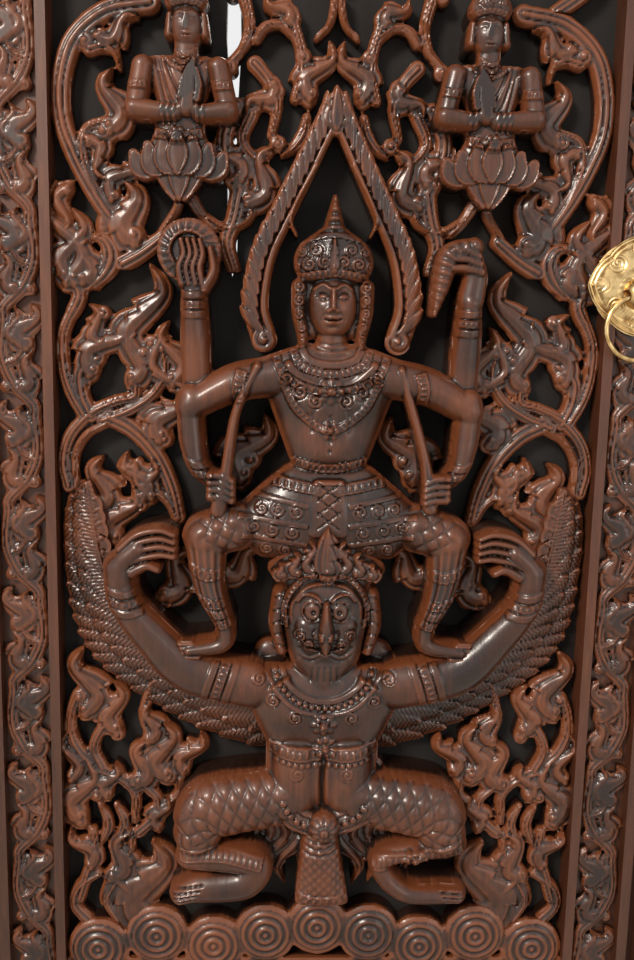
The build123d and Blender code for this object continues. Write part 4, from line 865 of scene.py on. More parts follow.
def diamonds(u, share, along):
    # A net of diamonds: two sets of slanted waves, kept where both are high
    a, b = np.sin(np.pi * (along / 17 + 1.3 * u)), np.sin(np.pi * (along / 17 - 1.3 * u))
    return 3.0 * np.abs(a * b) ** 0.6 - 1.5


def sunkEnds(share, span, depth):
    # Lets both ends of a band dip into the form under it
    return -depth * (np.clip(1 - share / span, 0, 1) + np.clip(1 - (1 - share) / span, 0, 1))


def ribs(u, share, along):
    # Even ridges that run along a limb
    return 0.9 * np.cos(2 * np.pi * 2.6 * u)


def hoops(pitch, tall):
    # Even ridges that run round a limb
    return lambda u, share, along: tall * np.cos(2 * np.pi * along / pitch)


# The bird guardian below: crouched with its arms up, in a crown, a collar, a belt and a loincloth.
# Rounded shapes are circles (x, z, radius), bands and furrows are points (x, z), and what stands on
# both sides is listed once, on the right. The code adds how far a rim and a middle stand off the boards
guardian = {
    "cell": 1.25, "x": (-247, 247), "z": (437, 911), "toolMarks": (61, 10, 0.18),
    "thigh": [(46, 574, 34), (126, 558, 38), (142, 530, 28)],
    "arm": [(84, 712, 28), (150, 728, 27), (190, 766, 23), (220, 806, 19), (227, 845, 18)],
    "wrist": [(226, 835, 17), (222, 852, 16), (206, 868, 14)],
    "thumb": [(212, 842, 7), (196, 850, 6), (184, 846, 5)],
    "chest": [(66, 708, 26), (44, 652, 22)],
    "waist": [(44, 650, 20), (38, 600, 18), (42, 566, 18)],
    "belly": [(36, 636, 21), (25, 634, 22), (32, 602, 22), (25, 574, 22), (38, 572, 20)],
    "hair": [(49, 814, 11), (54, 782, 9), (48, 752, 7)],
    "neck": [(-24, 742, 14), (0, 716, 16), (24, 742, 14)],
    "loincloth": [(-22, 448, 6), (28, 448, 6), (10, 526, 10), (-10, 526, 10)],
    "hem": [(-30, 455), (3, 450), (36, 455)],
    "leftFoot": [(-150, 504, 17), (-78, 496, 20), (-88, 470, 22), (-140, 464, 20), (-160, 457, 14)],
    "rightFoot": [(158, 518, 14), (72, 500, 13), (98, 458, 13), (162, 454, 12)],
    "rightCuff": [(60, 500), (110, 505), (165, 521)], "leftCuff": [(-162, 512), (-110, 512), (-66, 500)],
    "bellyFurrow": [(2, 636), (0, 600), (2, 556)], "collarHeight": 742,
    "sash": [(-50, 602), (-46, 582), (-28, 555), (3, 548), (36, 557), (52, 580), (58, 602)],
    "boss": (3, 548), "tiara": [(56, 846, 9), (0, 890, 9), (-56, 846, 9), (-40, 832, 8), (40, 832, 8)],
    "face": [(28, 746, 11), (37, 800, 12), (33, 834, 12)], "cheek": [(22, 786, 12), (16, 766, 11)],
    "beak": [(0, 812, 4), (0, 780, 9), (0, 770, 8), (0, 758, 4)],
    "mouth": [(-24, 764), (-10, 761), (0, 754), (10, 761), (24, 764)],
    "eye": (15, 803), "eyeRadius": 9.5, "brow": [(4, 812), (12, 820), (24, 822), (33, 812)],
    "upperJowl": [(5, 756), (18, 751), (31, 762)], "lowerJowl": [(4, 750), (17, 744), (30, 752)],
}
sheet = startRelief(guardian["x"], guardian["z"], guardian["cell"])
for side in (-1, 1):
    for number in range(4 if side > 0 else 7):
        flameLeaf(sheet, (side * (34 + 17 * number), 540), (side * (40 + 19 * number), 452 + 3 * number),
                  22, 20, 9, 0.1 * side, 3)
    limb(sheet, flipped(guardian["thigh"], side), 41, 34, diamonds)
    limb(sheet, flipped(guardian["arm"], side), 49, 26)
    limb(sheet, flipped(guardian["wrist"], side), 49, 27)
    for finger in range(4):
        limb(sheet, flipped([(224 - 4 * finger, 868 - 5 * finger, 6), (205, 884 - 9 * finger, 5.5),
                             (182, 889 - 9 * finger, 5.2), (166, 884 - 8 * finger, 4.8)], side), 58, 15,
             blend=1)
    limb(sheet, flipped(guardian["thumb"], side), 62, 12, blend=1)
block(sheet, bothSides(guardian["chest"]), 43, 28)
block(sheet, bothSides(guardian["waist"]), 41, 24)
for side in (-1, 1):
    block(sheet, flipped(guardian["belly"], side), 41, 32)
    limb(sheet, flipped(guardian["hair"], side), 45, 17)
block(sheet, guardian["neck"], 47, 22)
block(sheet, guardian["loincloth"], 49, 16,
      lambda x, z: 1.3 * np.abs(np.sin(np.pi * (x + z) / 11) * np.sin(np.pi * (x - z) / 11)))
strap(sheet, guardian["hem"], 15, 2, beadRow(8, 2))
limb(sheet, guardian["leftFoot"], 45, 25)
limb(sheet, guardian["rightFoot"], 43, 21)
for toe in range(4):
    scratch(sheet, [(-132 - 3 * toe, 474 - 6 * toe), (-172, 466 - 5 * toe)], 1.2, 3)
    scratch(sheet, [(136 + 3 * toe, 466 - 5 * toe), (176, 463 - 5 * toe)], 1.1, 2.6)
strap(sheet, guardian["rightCuff"], 22, 2.4, beadRow(7, 1.8))
flower(sheet, guardian["rightCuff"][1], 15, 5, 8)
strap(sheet, guardian["leftCuff"], 17, 2.4, beadRow(7, 1.8))
for side in (-1, 1):
    dent(sheet, (side * 36, 682), (24, 17), -5)

# Belly furrow, chest strap and collar
scratch(sheet, guardian["bellyFurrow"], 3.2, 7)
strap(sheet, sag(0, 640, 62, 6), 17, 3, beadRow(7.5, 1.8))
dots(sheet, sag(0, 627, 56, 7), 7.5, 3.4, 2)
for side in (-1, 1):
    curl(sheet, (side * 28, 612), 9, 1.6, side)
    dent(sheet, (side * 26, 603), (3, 3), 0.8)
flower(sheet, (3, 642), 14, 5.5, 8)


def collarLine(radius, lift=-8):
    # Part of a flattened ring, from one shoulder round under the chin to the other
    turns = np.radians(np.linspace(180 - lift, 360 + lift, 15))
    return [(radius * np.cos(a), guardian["collarHeight"] + 0.92 * radius * np.sin(a)) for a in turns]


limb(sheet, [(x, z, 19) for x, z in collarLine(62, -6)], 59, 9,
     lambda u, share, along: 2.0 * (1 - u**4) + sunkEnds(share, 0.13, 40), blend=2)
strap(sheet, collarLine(48), 7, 2.4)
dots(sheet, collarLine(56), 7.5, 3.4, 2.6)
strap(sheet, collarLine(64), 5, 2.4)
for angle in np.radians(np.arange(195, 346, 25)):
    curl(sheet, (74 * np.cos(angle), guardian["collarHeight"] + 68 * np.sin(angle)), 8.5, 3,
         np.sign(np.cos(angle)) or 1)
flower(sheet, (0, 672), 15, 6, 8)
for x in (-16, -8, 0, 8, 16):
    scratch(sheet, [(x * 0.8, 738), (x, 718)], 1.6, 1.6)

# Belt, its boss, the draped folds under it, and the bands on the arms
limb(sheet, [(x, z, 15) for x, z in guardian["sash"]], 62, 9,
     lambda u, share, along: 1.5 * (np.abs(u) > 0.6) - 2 * groove(np.abs(u), 0.55, 0.1)
     + sunkEnds(share, 0.14, 34), blend=2)
dots(sheet, guardian["sash"][1:-1], 9.5, 4.2, 3)
block(sheet, [(*guardian["boss"], 18.5)], 69, 12)
flower(sheet, guardian["boss"], 17, 4.5, 10)
for fold in range(4):
    scratch(sheet, [(-58 + 4 * fold, 572 - 9 * fold), (-30, 542 - 8 * fold), (0, 532 - 8 * fold),
                    (34, 543 - 8 * fold), (66 - 4 * fold, 566 - 9 * fold)], 2.2, 2.2)
for side in (-1, 1):
    for low, width, section in ((104, 9, None), (116, 11, beadRow(7, 2)), (128, 9, None)):
        strap(sheet, flipped([(low + 8, 690), (low + 2, 712), (low - 8, 742)], side), width, 2.3, section)
    for up, section in ((0, None), (11, beadRow(7, 1.8)), (22, None)):
        strap(sheet, flipped([(199, 800 + up), (220, 796 + up), (246, 802 + up)], side), 9, 2.3, section)

# Head: a leafy tiara over arched bands, ringed eyes under thin brows, curled cheeks, a hooked beak
block(sheet, guardian["tiara"], 49, 24)
block(sheet, bothSides(guardian["face"]), 51, 27)
for side in (-1, 1):
    for low in (812, 798, 784, 770, 757):
        scratch(sheet, flipped([(44, low), (52, low + 3), (62, low - 2)], side), 1.4, 2)
    for number in range(3):
        x = 15 + 16 * number
        flameLeaf(sheet, (side * x, 846 - 2 * number), (side * (x + 5), 880 - 13 * number), 19, 68, 9,
                  0.12 * side, 2)
flameLeaf(sheet, (0, 844), (0, 896), 32, 71, 12, 0, 3)


def browBand(half, low, high):
    # An arch over the face, nearly upright at its two ends
    rise = [(-half, low), (-half * 0.98, (low + high) / 2), (-half * 0.6, high - 5)]
    return rise + [(0, high)] + flipped(rise[::-1], -1)


strap(sheet, browBand(45, 782, 842), 7, 4, beadRow(6, 2))
scratch(sheet, browBand(38, 786, 833), 2.2, -4)
for side in (-1, 1):
    eyeX, eyeZ = side * guardian["eye"][0], guardian["eye"][1]
    block(sheet, flipped(guardian["cheek"], side), 66, 13)
    dent(sheet, (eyeX, eyeZ + 1), (11, 9), 5)
    bead(sheet, (eyeX, eyeZ), guardian["eyeRadius"], 8)
    scratch(sheet, ring(eyeX, eyeZ, 11, np.linspace(0.1, 6.2, 13)), 1.5, -3.6)
    dent(sheet, (eyeX - side, eyeZ - 1), (2.6, 2.6), 5)
    scratch(sheet, flipped(guardian["brow"], side), 2, -4.5)
    curl(sheet, (side * 28, 776), 8, 4, side)
    curl(sheet, (side * 18, 766), 6.5, 3.4, -side)
    scratch(sheet, flipped(guardian["upperJowl"], side), 1.8, 3)
    scratch(sheet, flipped(guardian["lowerJowl"], side), 1.4, 1.8)
block(sheet, guardian["beak"], 73, 18)
for side in (-1, 1):
    bead(sheet, (side * 8, 776), 6, 5)
scratch(sheet, guardian["mouth"], 1.8, 5)
for side in (-1, 1):
    dent(sheet, (side * 5, 771), (1.8, 1.4), 3)
block(sheet, [(0, 898, 10)], 49, 19)
roughen(sheet, *guardian["toolMarks"])
carve(sheet, "guardian_relief", "guardian_figure", "figure_wood", boardFace)
print("guardian carved")

# The crowned rider: four arms, seated on the guardian with both feet on its shoulders
rider = {
    "cell": 1.2, "x": (-188, 188), "z": (742, 1246), "toolMarks": (71, 10, 0.15),
    "raisedArm": [(143, 1040, 16), (145, 1092, 16), (146, 1135, 14)],
    "loweredArm": [(150, 1026, 15), (147, 985, 15), (140, 958, 12), (124, 942, 11)],
    "shoulder": [(60, 1056, 22), (104, 1047, 21), (148, 1024, 17)],
    "elbow": [(150, 1022, 16), (148, 1032, 15)], "trunk": [(52, 1054, 20), (34, 1000, 20), (24, 962, 15)],
    "lap": [(36, 940, 22), (78, 898, 26), (66, 874, 18)], "thigh": [(100, 892, 27), (133, 882, 25)],
    "shin": [(133, 880, 24), (128, 826, 17), (112, 786, 11)],
    "foot": [(110, 784, 11), (114, 762, 12), (150, 755, 9)],
    "breast": [(26, 1082, 9), (70, 1058, 18), (-26, 1082, 9), (-70, 1058, 18), (0, 1040, 20)],
    "club": [(-78, 1066, 5), (-100, 1018, 5), (-110, 955, 6), (-118, 912, 9)],
    "sword": [(74, 1064, 5), (102, 972, 5), (110, 916, 8)], "palm": [(122, 942, 12), (112, 932, 9)],
    "disc": (-151, 1184), "discRadius": 33, "discPalm": [(-146, 1140, 13), (-147, 1152, 13)],
    "discThumb": [(-134, 1146, 6), (-125, 1164, 5), (-128, 1186, 3.5)],
    "shellPalm": [(146, 1140, 14), (149, 1166, 13), (141, 1190, 12)],
    "shell": [(146, 1194, 10), (122, 1184, 13), (112, 1150, 9), (106, 1124, 4)],
    "apron": [(15, 890, 6), (12, 942, 5)],
    "clothCurls": [(34, 912, 9), (54, 914, 9), (72, 915, 8), (38, 889, 9), (60, 892, 9), (80, 896, 8),
                   (46, 868, 8), (66, 870, 8)],
    "collar": [(-44, 1066, 8), (-24, 1048, 8), (0, 1042, 10), (24, 1048, 8), (44, 1066, 8)],
    "collarHeight": 1086, "necklace": [(-52, 1052), (-34, 1020), (0, 1000), (34, 1020), (52, 1052)],
    "neck": [(0, 1070, 19), (0, 1096, 16)], "sideHair": [(24, 1152, 14), (22, 1104, 9)],
    "ear": [(35, 1150, 9), (35, 1122, 8), (31, 1102, 7), (31, 1088, 5)],
    "earCurls": [(35, 1150, 8), (35, 1136, 7.5), (35, 1122, 7), (32, 1108, 6.5), (32, 1095, 6)],
    "lid": [(4, 1138.8), (11, 1143.4), (19, 1139.4)], "underLid": [(5, 1138.4), (11, 1136), (17.5, 1138.8)],
    "brow": [(2.5, 1146.5), (11.5, 1152), (22, 1146)], "nostril": [(6.5, 1124), (11, 1119), (12, 1114)],
    "lips": [(-10, 1117.4), (-3.5, 1115.2), (0, 1115.8), (3.5, 1115.2), (10, 1117.4)],
    "crown": [(-16, 1176, 26), (16, 1176, 26), (0, 1190, 24)],
    "spire": [(0, 1200, 15), (0, 1216, 10), (0, 1241, 3)],
    "crownCurls": [(10, 1174, 8), (26, 1172, 8), (40, 1170, 7), (18, 1187, 8), (33, 1185, 7)],
}
sheet = startRelief(rider["x"], rider["z"], rider["cell"])
for side in (-1, 1):
    limb(sheet, flipped(rider["raisedArm"], side), 42, 14, tall=27)
    limb(sheet, flipped(rider["loweredArm"], side), 47, 22)
    limb(sheet, flipped(rider["shoulder"], side), 46, 27)
    block(sheet, flipped(rider["elbow"], side), 52, 20)
block(sheet, bothSides(rider["trunk"]), 43, 27)
block(sheet, bothSides(rider["lap"]), 43, 31)
for side in (-1, 1):
    limb(sheet, flipped(rider["thigh"], side), 51, 27, diamonds)
    limb(sheet, flipped(rider["shin"], side), 51, 26, ribs)
    limb(sheet, flipped(rider["foot"], side), 51, 24)
    for toe in range(4):
        limb(sheet, flipped([(146 - 2 * toe, 762 - 5 * toe, 4), (160 - 2 * toe, 762 - 5 * toe, 3.6)], side),
             62, 9, blend=1)
    for low, section in ((812, beadRow(6, 1.8)), (800, None), (789, beadRow(6, 1.5))):
        strap(sheet, flipped([(98, low + 2), (122, low - 3), (146, low + 5)], side), 10, 2.4, section)
    strap(sheet, flipped([(104, 846), (128, 841), (152, 850)], side), 12, 2.2, beadRow(6, 1.8))
block(sheet, rider["breast"], 50, 20)

# Hands: the lower pair rests on club and sword, the upper pair lifts a flame disc and a shell
limb(sheet, rider["club"], 67, 9, blend=1)
limb(sheet, rider["sword"], 65, 9, blend=1)
for side in (-1, 1):
    block(sheet, flipped(rider["palm"], side), 52, 16)
    for finger in range(4):
        limb(sheet, flipped([(127, 950 - 7.6 * finger, 5), (114, 949 - 7.6 * finger, 5),
                             (104, 944 - 7 * finger, 4.4)], side), 67, 9, blend=1)
    for low, section in ((963, None), (953, beadRow(6, 1.8))):
        strap(sheet, flipped([(124, low), (142, low - 3), (158, low + 2)], side), 9, 2.4, section)


def rays(x, z):
    # Twenty flames that lean as they run out from a sunk middle
    dx, dz = x - rider["disc"][0], z - rider["disc"][1]
    r = np.hypot(dx, dz)
    return 2.6 * np.abs(np.cos(10 * np.arctan2(dz, dx) + 0.09 * r)) * (r > 21) - 3 * (r < 17)


block(sheet, [(*rider["disc"], rider["discRadius"])], 53, 9, rays)
scratch(sheet, ring(*rider["disc"], 19.5, np.linspace(0, 6.28, 17)), 2.0, -4)
block(sheet, rider["discPalm"], 52, 17)
for finger in range(4):
    limb(sheet, [(-157 + 7 * finger, 1150, 4.8), (-160 + 7 * finger, 1166, 4.4),
                 (-155 + 6.4 * finger, 1180, 4.2), (-158 + 6.4 * finger, 1194, 3.2)], 60, 12, blend=1)
limb(sheet, rider["discThumb"], 60, 12, blend=1)
limb(sheet, rider["shellPalm"], 55, 13)
limb(sheet, rider["shell"], 57, 15, hoops(9, 1.2))
for finger in range(3):
    limb(sheet, [(154 - 2 * finger, 1168 + 8 * finger, 4.6), (138, 1172 + 9 * finger, 4.6),
                 (124, 1172 + 9 * finger, 4)], 66, 6.5, blend=1)
for side, low in ((-1, 1120), (1, 1106)):
    for up, section in ((0, None), (10, beadRow(6, 1.8)), (20, None)):
        strap(sheet, flipped([(128, low + up), (146, low + up - 2), (164, low + up)], side), 8.5, 2.4,
              section)
    strap(sheet, flipped([(96, 1028), (98, 1044), (94, 1062)], side), 13, 2.4, beadRow(6, 1.8))

# Chest and belly
for side in (-1, 1):
    dent(sheet, (side * 26, 1028), (20, 15), -5)
    dent(sheet, (side * 17, 990), (9, 16), -2.5)
dent(sheet, (0, 974), (17, 11), -3)
dent(sheet, (0, 977), (2.2, 2.6), 3)
scratch(sheet, [(0, 1018), (0, 1000), (0, 984)], 2.2, 2)

# Waist, sash and the patterned cloth
strap(sheet, sag(0, 966, 42, 8), 10, 4, beadRow(6.5, 1.8))
strap(sheet, sag(0, 945, 60, 9), 13, 3.4, beadRow(7, 2))
block(sheet, bothSides(rider["apron"]), 71, 6)
for low in (892, 908, 924):
    for side in (-1, 1):
        scratch(sheet, [(-14 * side, low), (14 * side, low + 22)], 1.1, 2.2)
strap(sheet, [(-18, 944), (18, 944)], 5, 2)
for side in (-1, 1):
    for low, reach in ((922, 80), (900, 96), (878, 92)):
        strap(sheet, [(side * 22, low - 4), (side * 0.6 * reach, low + 2), (side * reach, low + 8)], 6, 2.2)
    for x, z, size in rider["clothCurls"]:
        curl(sheet, (side * x, z), size, 2.6, side)
    scratch(sheet, flipped([(12, 1030), (20, 1014), (19, 996)], side), 2.2, 1.6)


def collarBand(half, drop):
    # A deep loop from one end of the collar to the other
    high = rider["collarHeight"]
    fall = [(-half, high), (-half * 0.8, high - 0.62 * drop), (-half * 0.4, high - 0.93 * drop)]
    return fall + [(0, high - drop)] + flipped(fall[::-1], -1)


# Collar of scalloped bands, a rosette, and the drop below it
limb(sheet, rider["collar"], 63, 10, blend=2)
for half, drop, section in ((32, 17, None), (42, 26, beadRow(6, 2)), (52, 35, None),
                            (62, 45, beadRow(8, 2.4))):
    strap(sheet, collarBand(half, drop), 9, 2.2, section)
strap(sheet, rider["necklace"], 9, 2.4, beadRow(6, 1.6))
flower(sheet, (0, 1042), 15, 5.5, 8)
flower(sheet, (0, 1000), 11, 4, 6)
for side in (-1, 1):
    for x, z in ((16, 1031), (33, 1041), (48, 1055)):
        curl(sheet, (side * x, z), 9, 2.8, side)

# Neck and head: an even oval with level brows, lowered lids and a closed mouth
block(sheet, rider["neck"], 49, 15)
for low in (1078, 1084, 1090):
    scratch(sheet, sag(0, low + 3, 18, 3), 1.2, 1.2)
for side in (-1, 1):
    block(sheet, flipped(rider["sideHair"], side), 45, 12)
    limb(sheet, flipped(rider["ear"], side), 49, 16, blend=1)
    for x, z, size in rider["earCurls"]:
        curl(sheet, (side * x, z), size, 3, side)
mound(sheet, (0, 1131), (26, 35), 51, 24, 0.42)
for side in (-1, 1):
    dent(sheet, (side * 12, 1128), (8, 8), -1.4)
    dent(sheet, (side * 11, 1141), (7.5, 4.6), 4.2)
    dent(sheet, (side * 11, 1140), (5.4, 2.7), -3.8)
    scratch(sheet, flipped(rider["lid"], side), 1.0, 2.4)
    scratch(sheet, flipped(rider["underLid"], side), 0.9, 1.8)
    scratch(sheet, flipped(rider["brow"], side), 1.9, -2.8)
    dent(sheet, (side * 4.8, 1125), (2.6, 2.3), -2.8)
    scratch(sheet, flipped(rider["nostril"], side), 1.4, 0.8)
scratch(sheet, [(0, 1150), (0, 1138), (0, 1125)], 3.0, -5.5)
dent(sheet, (0, 1125.5), (4.2, 3), -3)
dent(sheet, (0, 1118.2), (7.6, 1.9), -2.6)
dent(sheet, (0, 1112.6), (6, 2.3), -3)
scratch(sheet, rider["lips"], 1.0, 3.2)
dent(sheet, (0, 1108.4), (4.6, 1.5), 1.4)
dent(sheet, (0, 1103), (7, 4.5), -2.4)
block(sheet, rider["crown"], 49, 26)
strap(sheet, sag(0, 1158, 38, -5), 9, 4, beadRow(6, 2))
for side in (-1, 1):
    for x, z, size in rider["crownCurls"]:
        curl(sheet, (side * x, z), size, 3, side)
flameLeaf(sheet, (0, 1166), (0, 1198), 20, 70, 9, 0, 2)
strap(sheet, sag(0, 1198, 28, -4), 7, 3)
limb(sheet, rider["spire"], 49, 19, hoops(9.5, 1.8))
roughen(sheet, *rider["toolMarks"])
carve(sheet, "rider_relief", "rider_figure", "figure_wood", boardFace)
print("rider carved")

# Two praying attendants, half figures that rise from a lotus
attendant = {
    "cell": 1.0, "toolMarks": (81, 8, 0.15), "faceX": 154,
    "calyx": [(182, 1296, 9), (142, 1296, 9), (136, 1280, 8), (190, 1280, 8)],
    "chest": [(188, 1368, 11), (132, 1368, 11), (147, 1338, 12), (174, 1338, 12)],
    "waist": [(150, 1340, 13), (171, 1340, 13), (148, 1304, 12), (176, 1304, 12)],
    "neck": [(155, 1378, 12), (155, 1396, 12)], "folds": [(180, 1364), (185, 1352), (188, 1340)],
    "arms": [[(122, 1367, 11.5), (112, 1325, 11), (141, 1321, 9)],
             [(199, 1367, 11.5), (207, 1325, 11), (166, 1321, 9)]],
    "joinedHands": (153, 1330, 7), "palms": [(154, 1326, 9), (151, 1344, 9.5), (149, 1358, 7)],
    "thumb": [(143, 1334, 3.6), (141, 1348, 3.8), (144, 1362, 3)],
    "wristBands": (137, 143, 166, 172, 178), "armBands": [(119, 1349), (203, 1349)],
    "crown": [(148, 1432, 15), (162, 1432, 15), (155, 1444, 14)],
    "crownCurls": [(145, 1435), (155, 1437), (166, 1435)],
    "spire": [(155, 1444, 12.5), (155, 1464, 8), (155, 1486, 2)],
}


def petalRim(u, share, along):
    # A petal is hollowed along its middle and has a thin raised lip
    return 2.2 * groove(np.abs(u), 0.84, 0.12) - 3.2 * (1 - u**2)


for side, word in ((-1, "left"), (1, "right")):
    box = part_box("attendant_" + word)
    sheet = startRelief((box[0][0] / mm, box[1][0] / mm), (box[0][2] / mm, box[1][2] / mm),
                        attendant["cell"])
    for turn, width in ((-1, 17), (1, 17), (0, 24)):
        ribbon(sheet,
               flipped([(162 + 13 * turn, 1276), (162 + 15 * turn, 1262), (162 + 5 * turn, 1236)], side),
               (width, 3, width * 0.4), 44 - 3 * abs(turn), 8, petalRim)
    block(sheet, flipped(attendant["calyx"], side), 36, 10)
    for turn in (-3, 3, -2, 2, -1, 1, 0):
        tip = (163 + 15.5 * turn, 1297 - 2.4 * abs(turn) ** 1.7)
        ribbon(sheet, flipped([(163 + 6 * turn, 1264), (163 + 13 * turn, 1272 - abs(turn)), tip], side),
               (9, 11, 14), 49 - 3.4 * abs(turn), 9, petalRim)
    block(sheet, flipped(attendant["chest"], side), 36, 15)
    block(sheet, flipped(attendant["waist"], side), 36, 14)
    block(sheet, flipped(attendant["neck"], side), 43, 11)
    for x, z in attendant["folds"]:
        scratch(sheet, flipped([(x - 2, 1378), (x - 11, z - 8), (x - 20, z - 26)], side), 1.6, 2.4)
    for shoulder, elbow, wrist in attendant["arms"]:
        limb(sheet, flipped([shoulder, elbow], side), 43, 14)
        limb(sheet, flipped([elbow, wrist], side), 46, 15, blend=1)
        limb(sheet, flipped([wrist, attendant["joinedHands"]], side), 46, 14, blend=1)
    limb(sheet, flipped(attendant["palms"], side), 52, 10, blend=1)
    limb(sheet, flipped(attendant["thumb"], side), 55, 9, blend=1)
    for finger in range(4):
        limb(sheet, flipped([(149 + 3.8 * finger, 1343 - 2.5 * finger, 2.8),
                             (147 + 3.3 * finger, 1358 - 2 * finger, 2.6),
                             (146 + 1.8 * finger, 1372 - 2.5 * finger, 1.8)], side), 57.5, 7.5, blend=0)
    for x in attendant["wristBands"]:
        strap(sheet, [(side * x, 1310), (side * x, 1332)], 4, 2.4)
    strap(sheet, flipped([(138, 1303), (163, 1298), (190, 1303)], side), 11, 3, beadRow(5, 1.5))
    flower(sheet, (side * 163, 1299), 10.5, 5, 6)
    flower(sheet, (side * 157, 1365), 6, 3, 6)
    for half, drop in ((17, 10), (24, 16), (31, 22)):
        strap(sheet, flipped(sag(157, 1386, half, drop), side), 5, 1.9, beadRow(4.5, 1.2))
    for x, z in attendant["armBands"]:
        strap(sheet, flipped(sag(x, z, 12, 2), side), 9, 2, beadRow(4, 1.3))
    faceX = side * attendant["faceX"]
    mound(sheet, (faceX, 1406), (16.5, 21), 45, 16, 0.45)
    for eye in (-1, 1):
        eyeX = faceX + eye * 6.8
        dent(sheet, (eyeX, 1411.5), (4.6, 2.8), 1.9)
        dent(sheet, (eyeX, 1411), (3.4, 1.7), -1.7)
        scratch(sheet, [(eyeX - 4, 1410.4), (eyeX, 1412.6), (eyeX + 4, 1410.4)], 0.7, 1)
        scratch(sheet, [(eyeX - 5, 1415), (eyeX, 1417.4), (eyeX + 5, 1415)], 1.1, -1.1)
        limb(sheet, [(faceX + eye * 17, 1416, 4), (faceX + eye * 18, 1398, 5)], 43, 10, blend=1)
    scratch(sheet, [(faceX, 1417), (faceX, 1408), (faceX, 1401)], 1.9, -3)
    dent(sheet, (faceX, 1401.5), (3, 1.8), -1.4)
    dent(sheet, (faceX, 1396.6), (4.6, 1.2), -1.2)
    dent(sheet, (faceX, 1393.4), (3.8, 1.3), -1.4)
    scratch(sheet, [(faceX - 5.4, 1395.6), (faceX, 1394.8), (faceX + 5.4, 1395.6)], 0.6, 1.2)
    block(sheet, flipped(attendant["crown"], side), 43, 15)
    strap(sheet, sag(faceX, 1424, 20, -3), 6, 2.6, beadRow(4.5, 1.4))
    for x, z in attendant["crownCurls"]:
        curl(sheet, (side * x, z), 5.5, 2, side)
    limb(sheet, flipped(attendant["spire"], side), 43, 16, hoops(8, 1.3))
    roughen(sheet, *attendant["toolMarks"])
    carve(sheet, "attendant_relief_" + word, "attendant_" + word, "figure_wood", boardFace)
print("attendants carved")

# The pull's plate: a chased skin over its domed face, worked out in angle and share of the way from
# the boss to the lobed outline. The dome is part of a ball, cut off where it meets the flat face
pull = {"middle": (331.0, 1160.0), "face": 3.0, "dome": 136.33, "domeTop": 9.0, "boss": (0.0, -9.0),
        "bossRadius": 16.6, "tip": 54.0, "notch": 46.0, "bulge": 4.0, "inset": 0.9, "rings": 60,
        "spokes": 340, "skin": 0.6, "tipArcs": 46.0, "notchCurls": 33.0, "curlPitch": 4.2, "petals": 9,
        "petalRow": 20.0, "dull": 0.5}


def lobedReach(angle):
    # Straight lines between points that stand out by turns far and less far, each bowed out in the middle
    turn = angle / (np.pi / 4)
    number, share = np.floor(turn), turn % 1
    near = np.where(number % 2 == 0, pull["tip"], pull["notch"])
    far = pull["tip"] + pull["notch"] - near
    a = share * np.pi / 4
    chord = near * far * np.sin(np.pi / 4) / (near * np.sin(a) + far * np.sin(np.pi / 4 - a))
    return chord + pull["bulge"] * 4 * share * (1 - share)


def chasing(r, angle, reach, fromBoss):
    # Two lips along the outline, nested arcs at the four points, curls between them, petals round the boss
    edge = reach - r
    tipTurn = (angle + np.pi / 4) % (np.pi / 2) - np.pi / 4
    notchTurn = angle % (np.pi / 2) - np.pi / 4
    lips = 1.3 * groove(edge, 1.6, 1.2) + 0.9 * groove(edge, 6.5, 1.0) - 0.4 * groove(edge, 4.2, 1.0)
    nested = np.hypot((r - pull["tipArcs"]) / 16, r * tipTurn / 10)
    arcs = 0.45 * np.cos(2 * np.pi * nested * 2.6) * np.clip(1.15 - nested, 0, 0.3) / 0.3
    out, aside = r - pull["notchCurls"], r * notchTurn
    fromEye = np.hypot(out, aside)
    phase = fromEye / pull["curlPitch"] - np.sign(notchTurn) * np.arctan2(out, np.abs(aside)) / (2 * np.pi)
    curls = 0.4 * np.cos(2 * np.pi * phase) * np.clip(11 - fromEye, 0, 1)
    inRow = np.clip(1 - np.abs(fromBoss - pull["petalRow"]) / 2.6, 0, 1) ** 0.5
    petals = 0.6 * np.abs(np.cos(pull["petals"] * angle)) * inRow
    return 0.55 + lips + (edge > 8) * (arcs + curls) + petals


def edged(values, first, last):
    # One more column before the first and after the last, for the skin's two folded edges
    return np.concatenate([first[:, None], values, last[:, None]], axis=1)


turns = np.arange(pull["spokes"]) * 2 * np.pi / pull["spokes"]
share, angle = np.meshgrid(np.linspace(0, 1, pull["rings"]), turns)
reach = lobedReach(angle) - pull["inset"]
bossX, bossZ = pull["boss"]
ahead = bossX * np.cos(angle) + bossZ * np.sin(angle)
start = ahead + np.sqrt(ahead**2 - bossX**2 - bossZ**2 + pull["bossRadius"] ** 2)
r = start + (reach - start) * share
fromBoss = np.hypot(r * np.cos(angle) - bossX, r * np.sin(angle) - bossZ)
plain = np.maximum(pull["face"], pull["domeTop"] - pull["dome"] + np.sqrt(pull["dome"] ** 2 - r**2))
raised = plain + chasing(r, angle, reach, fromBoss)
under = plain - pull["skin"]
stand = edged(raised, under[:, 0], under[:, -1])
out = edged(r, r[:, 0], r[:, -1])
turn = edged(angle, angle[:, 0], angle[:, -1])
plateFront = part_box("pull_plate")[1][1] / mm
points = np.stack([pull["middle"][0] + out * np.cos(turn), plateFront - stand,
                   pull["middle"][1] + out * np.sin(turn)], axis=-1).reshape(-1, 3)
number = np.arange(turn.size).reshape(turn.shape)
beside = np.roll(number, -1, axis=0)
turnBack = np.roll(np.arange(turn.shape[1]), -1)
faces = np.stack([number, beside, beside[:, turnBack], number[:, turnBack]], axis=-1).reshape(-1, 4)
dull = np.clip((blurred(raised, 3) - raised) / pull["dull"], -1, 1)
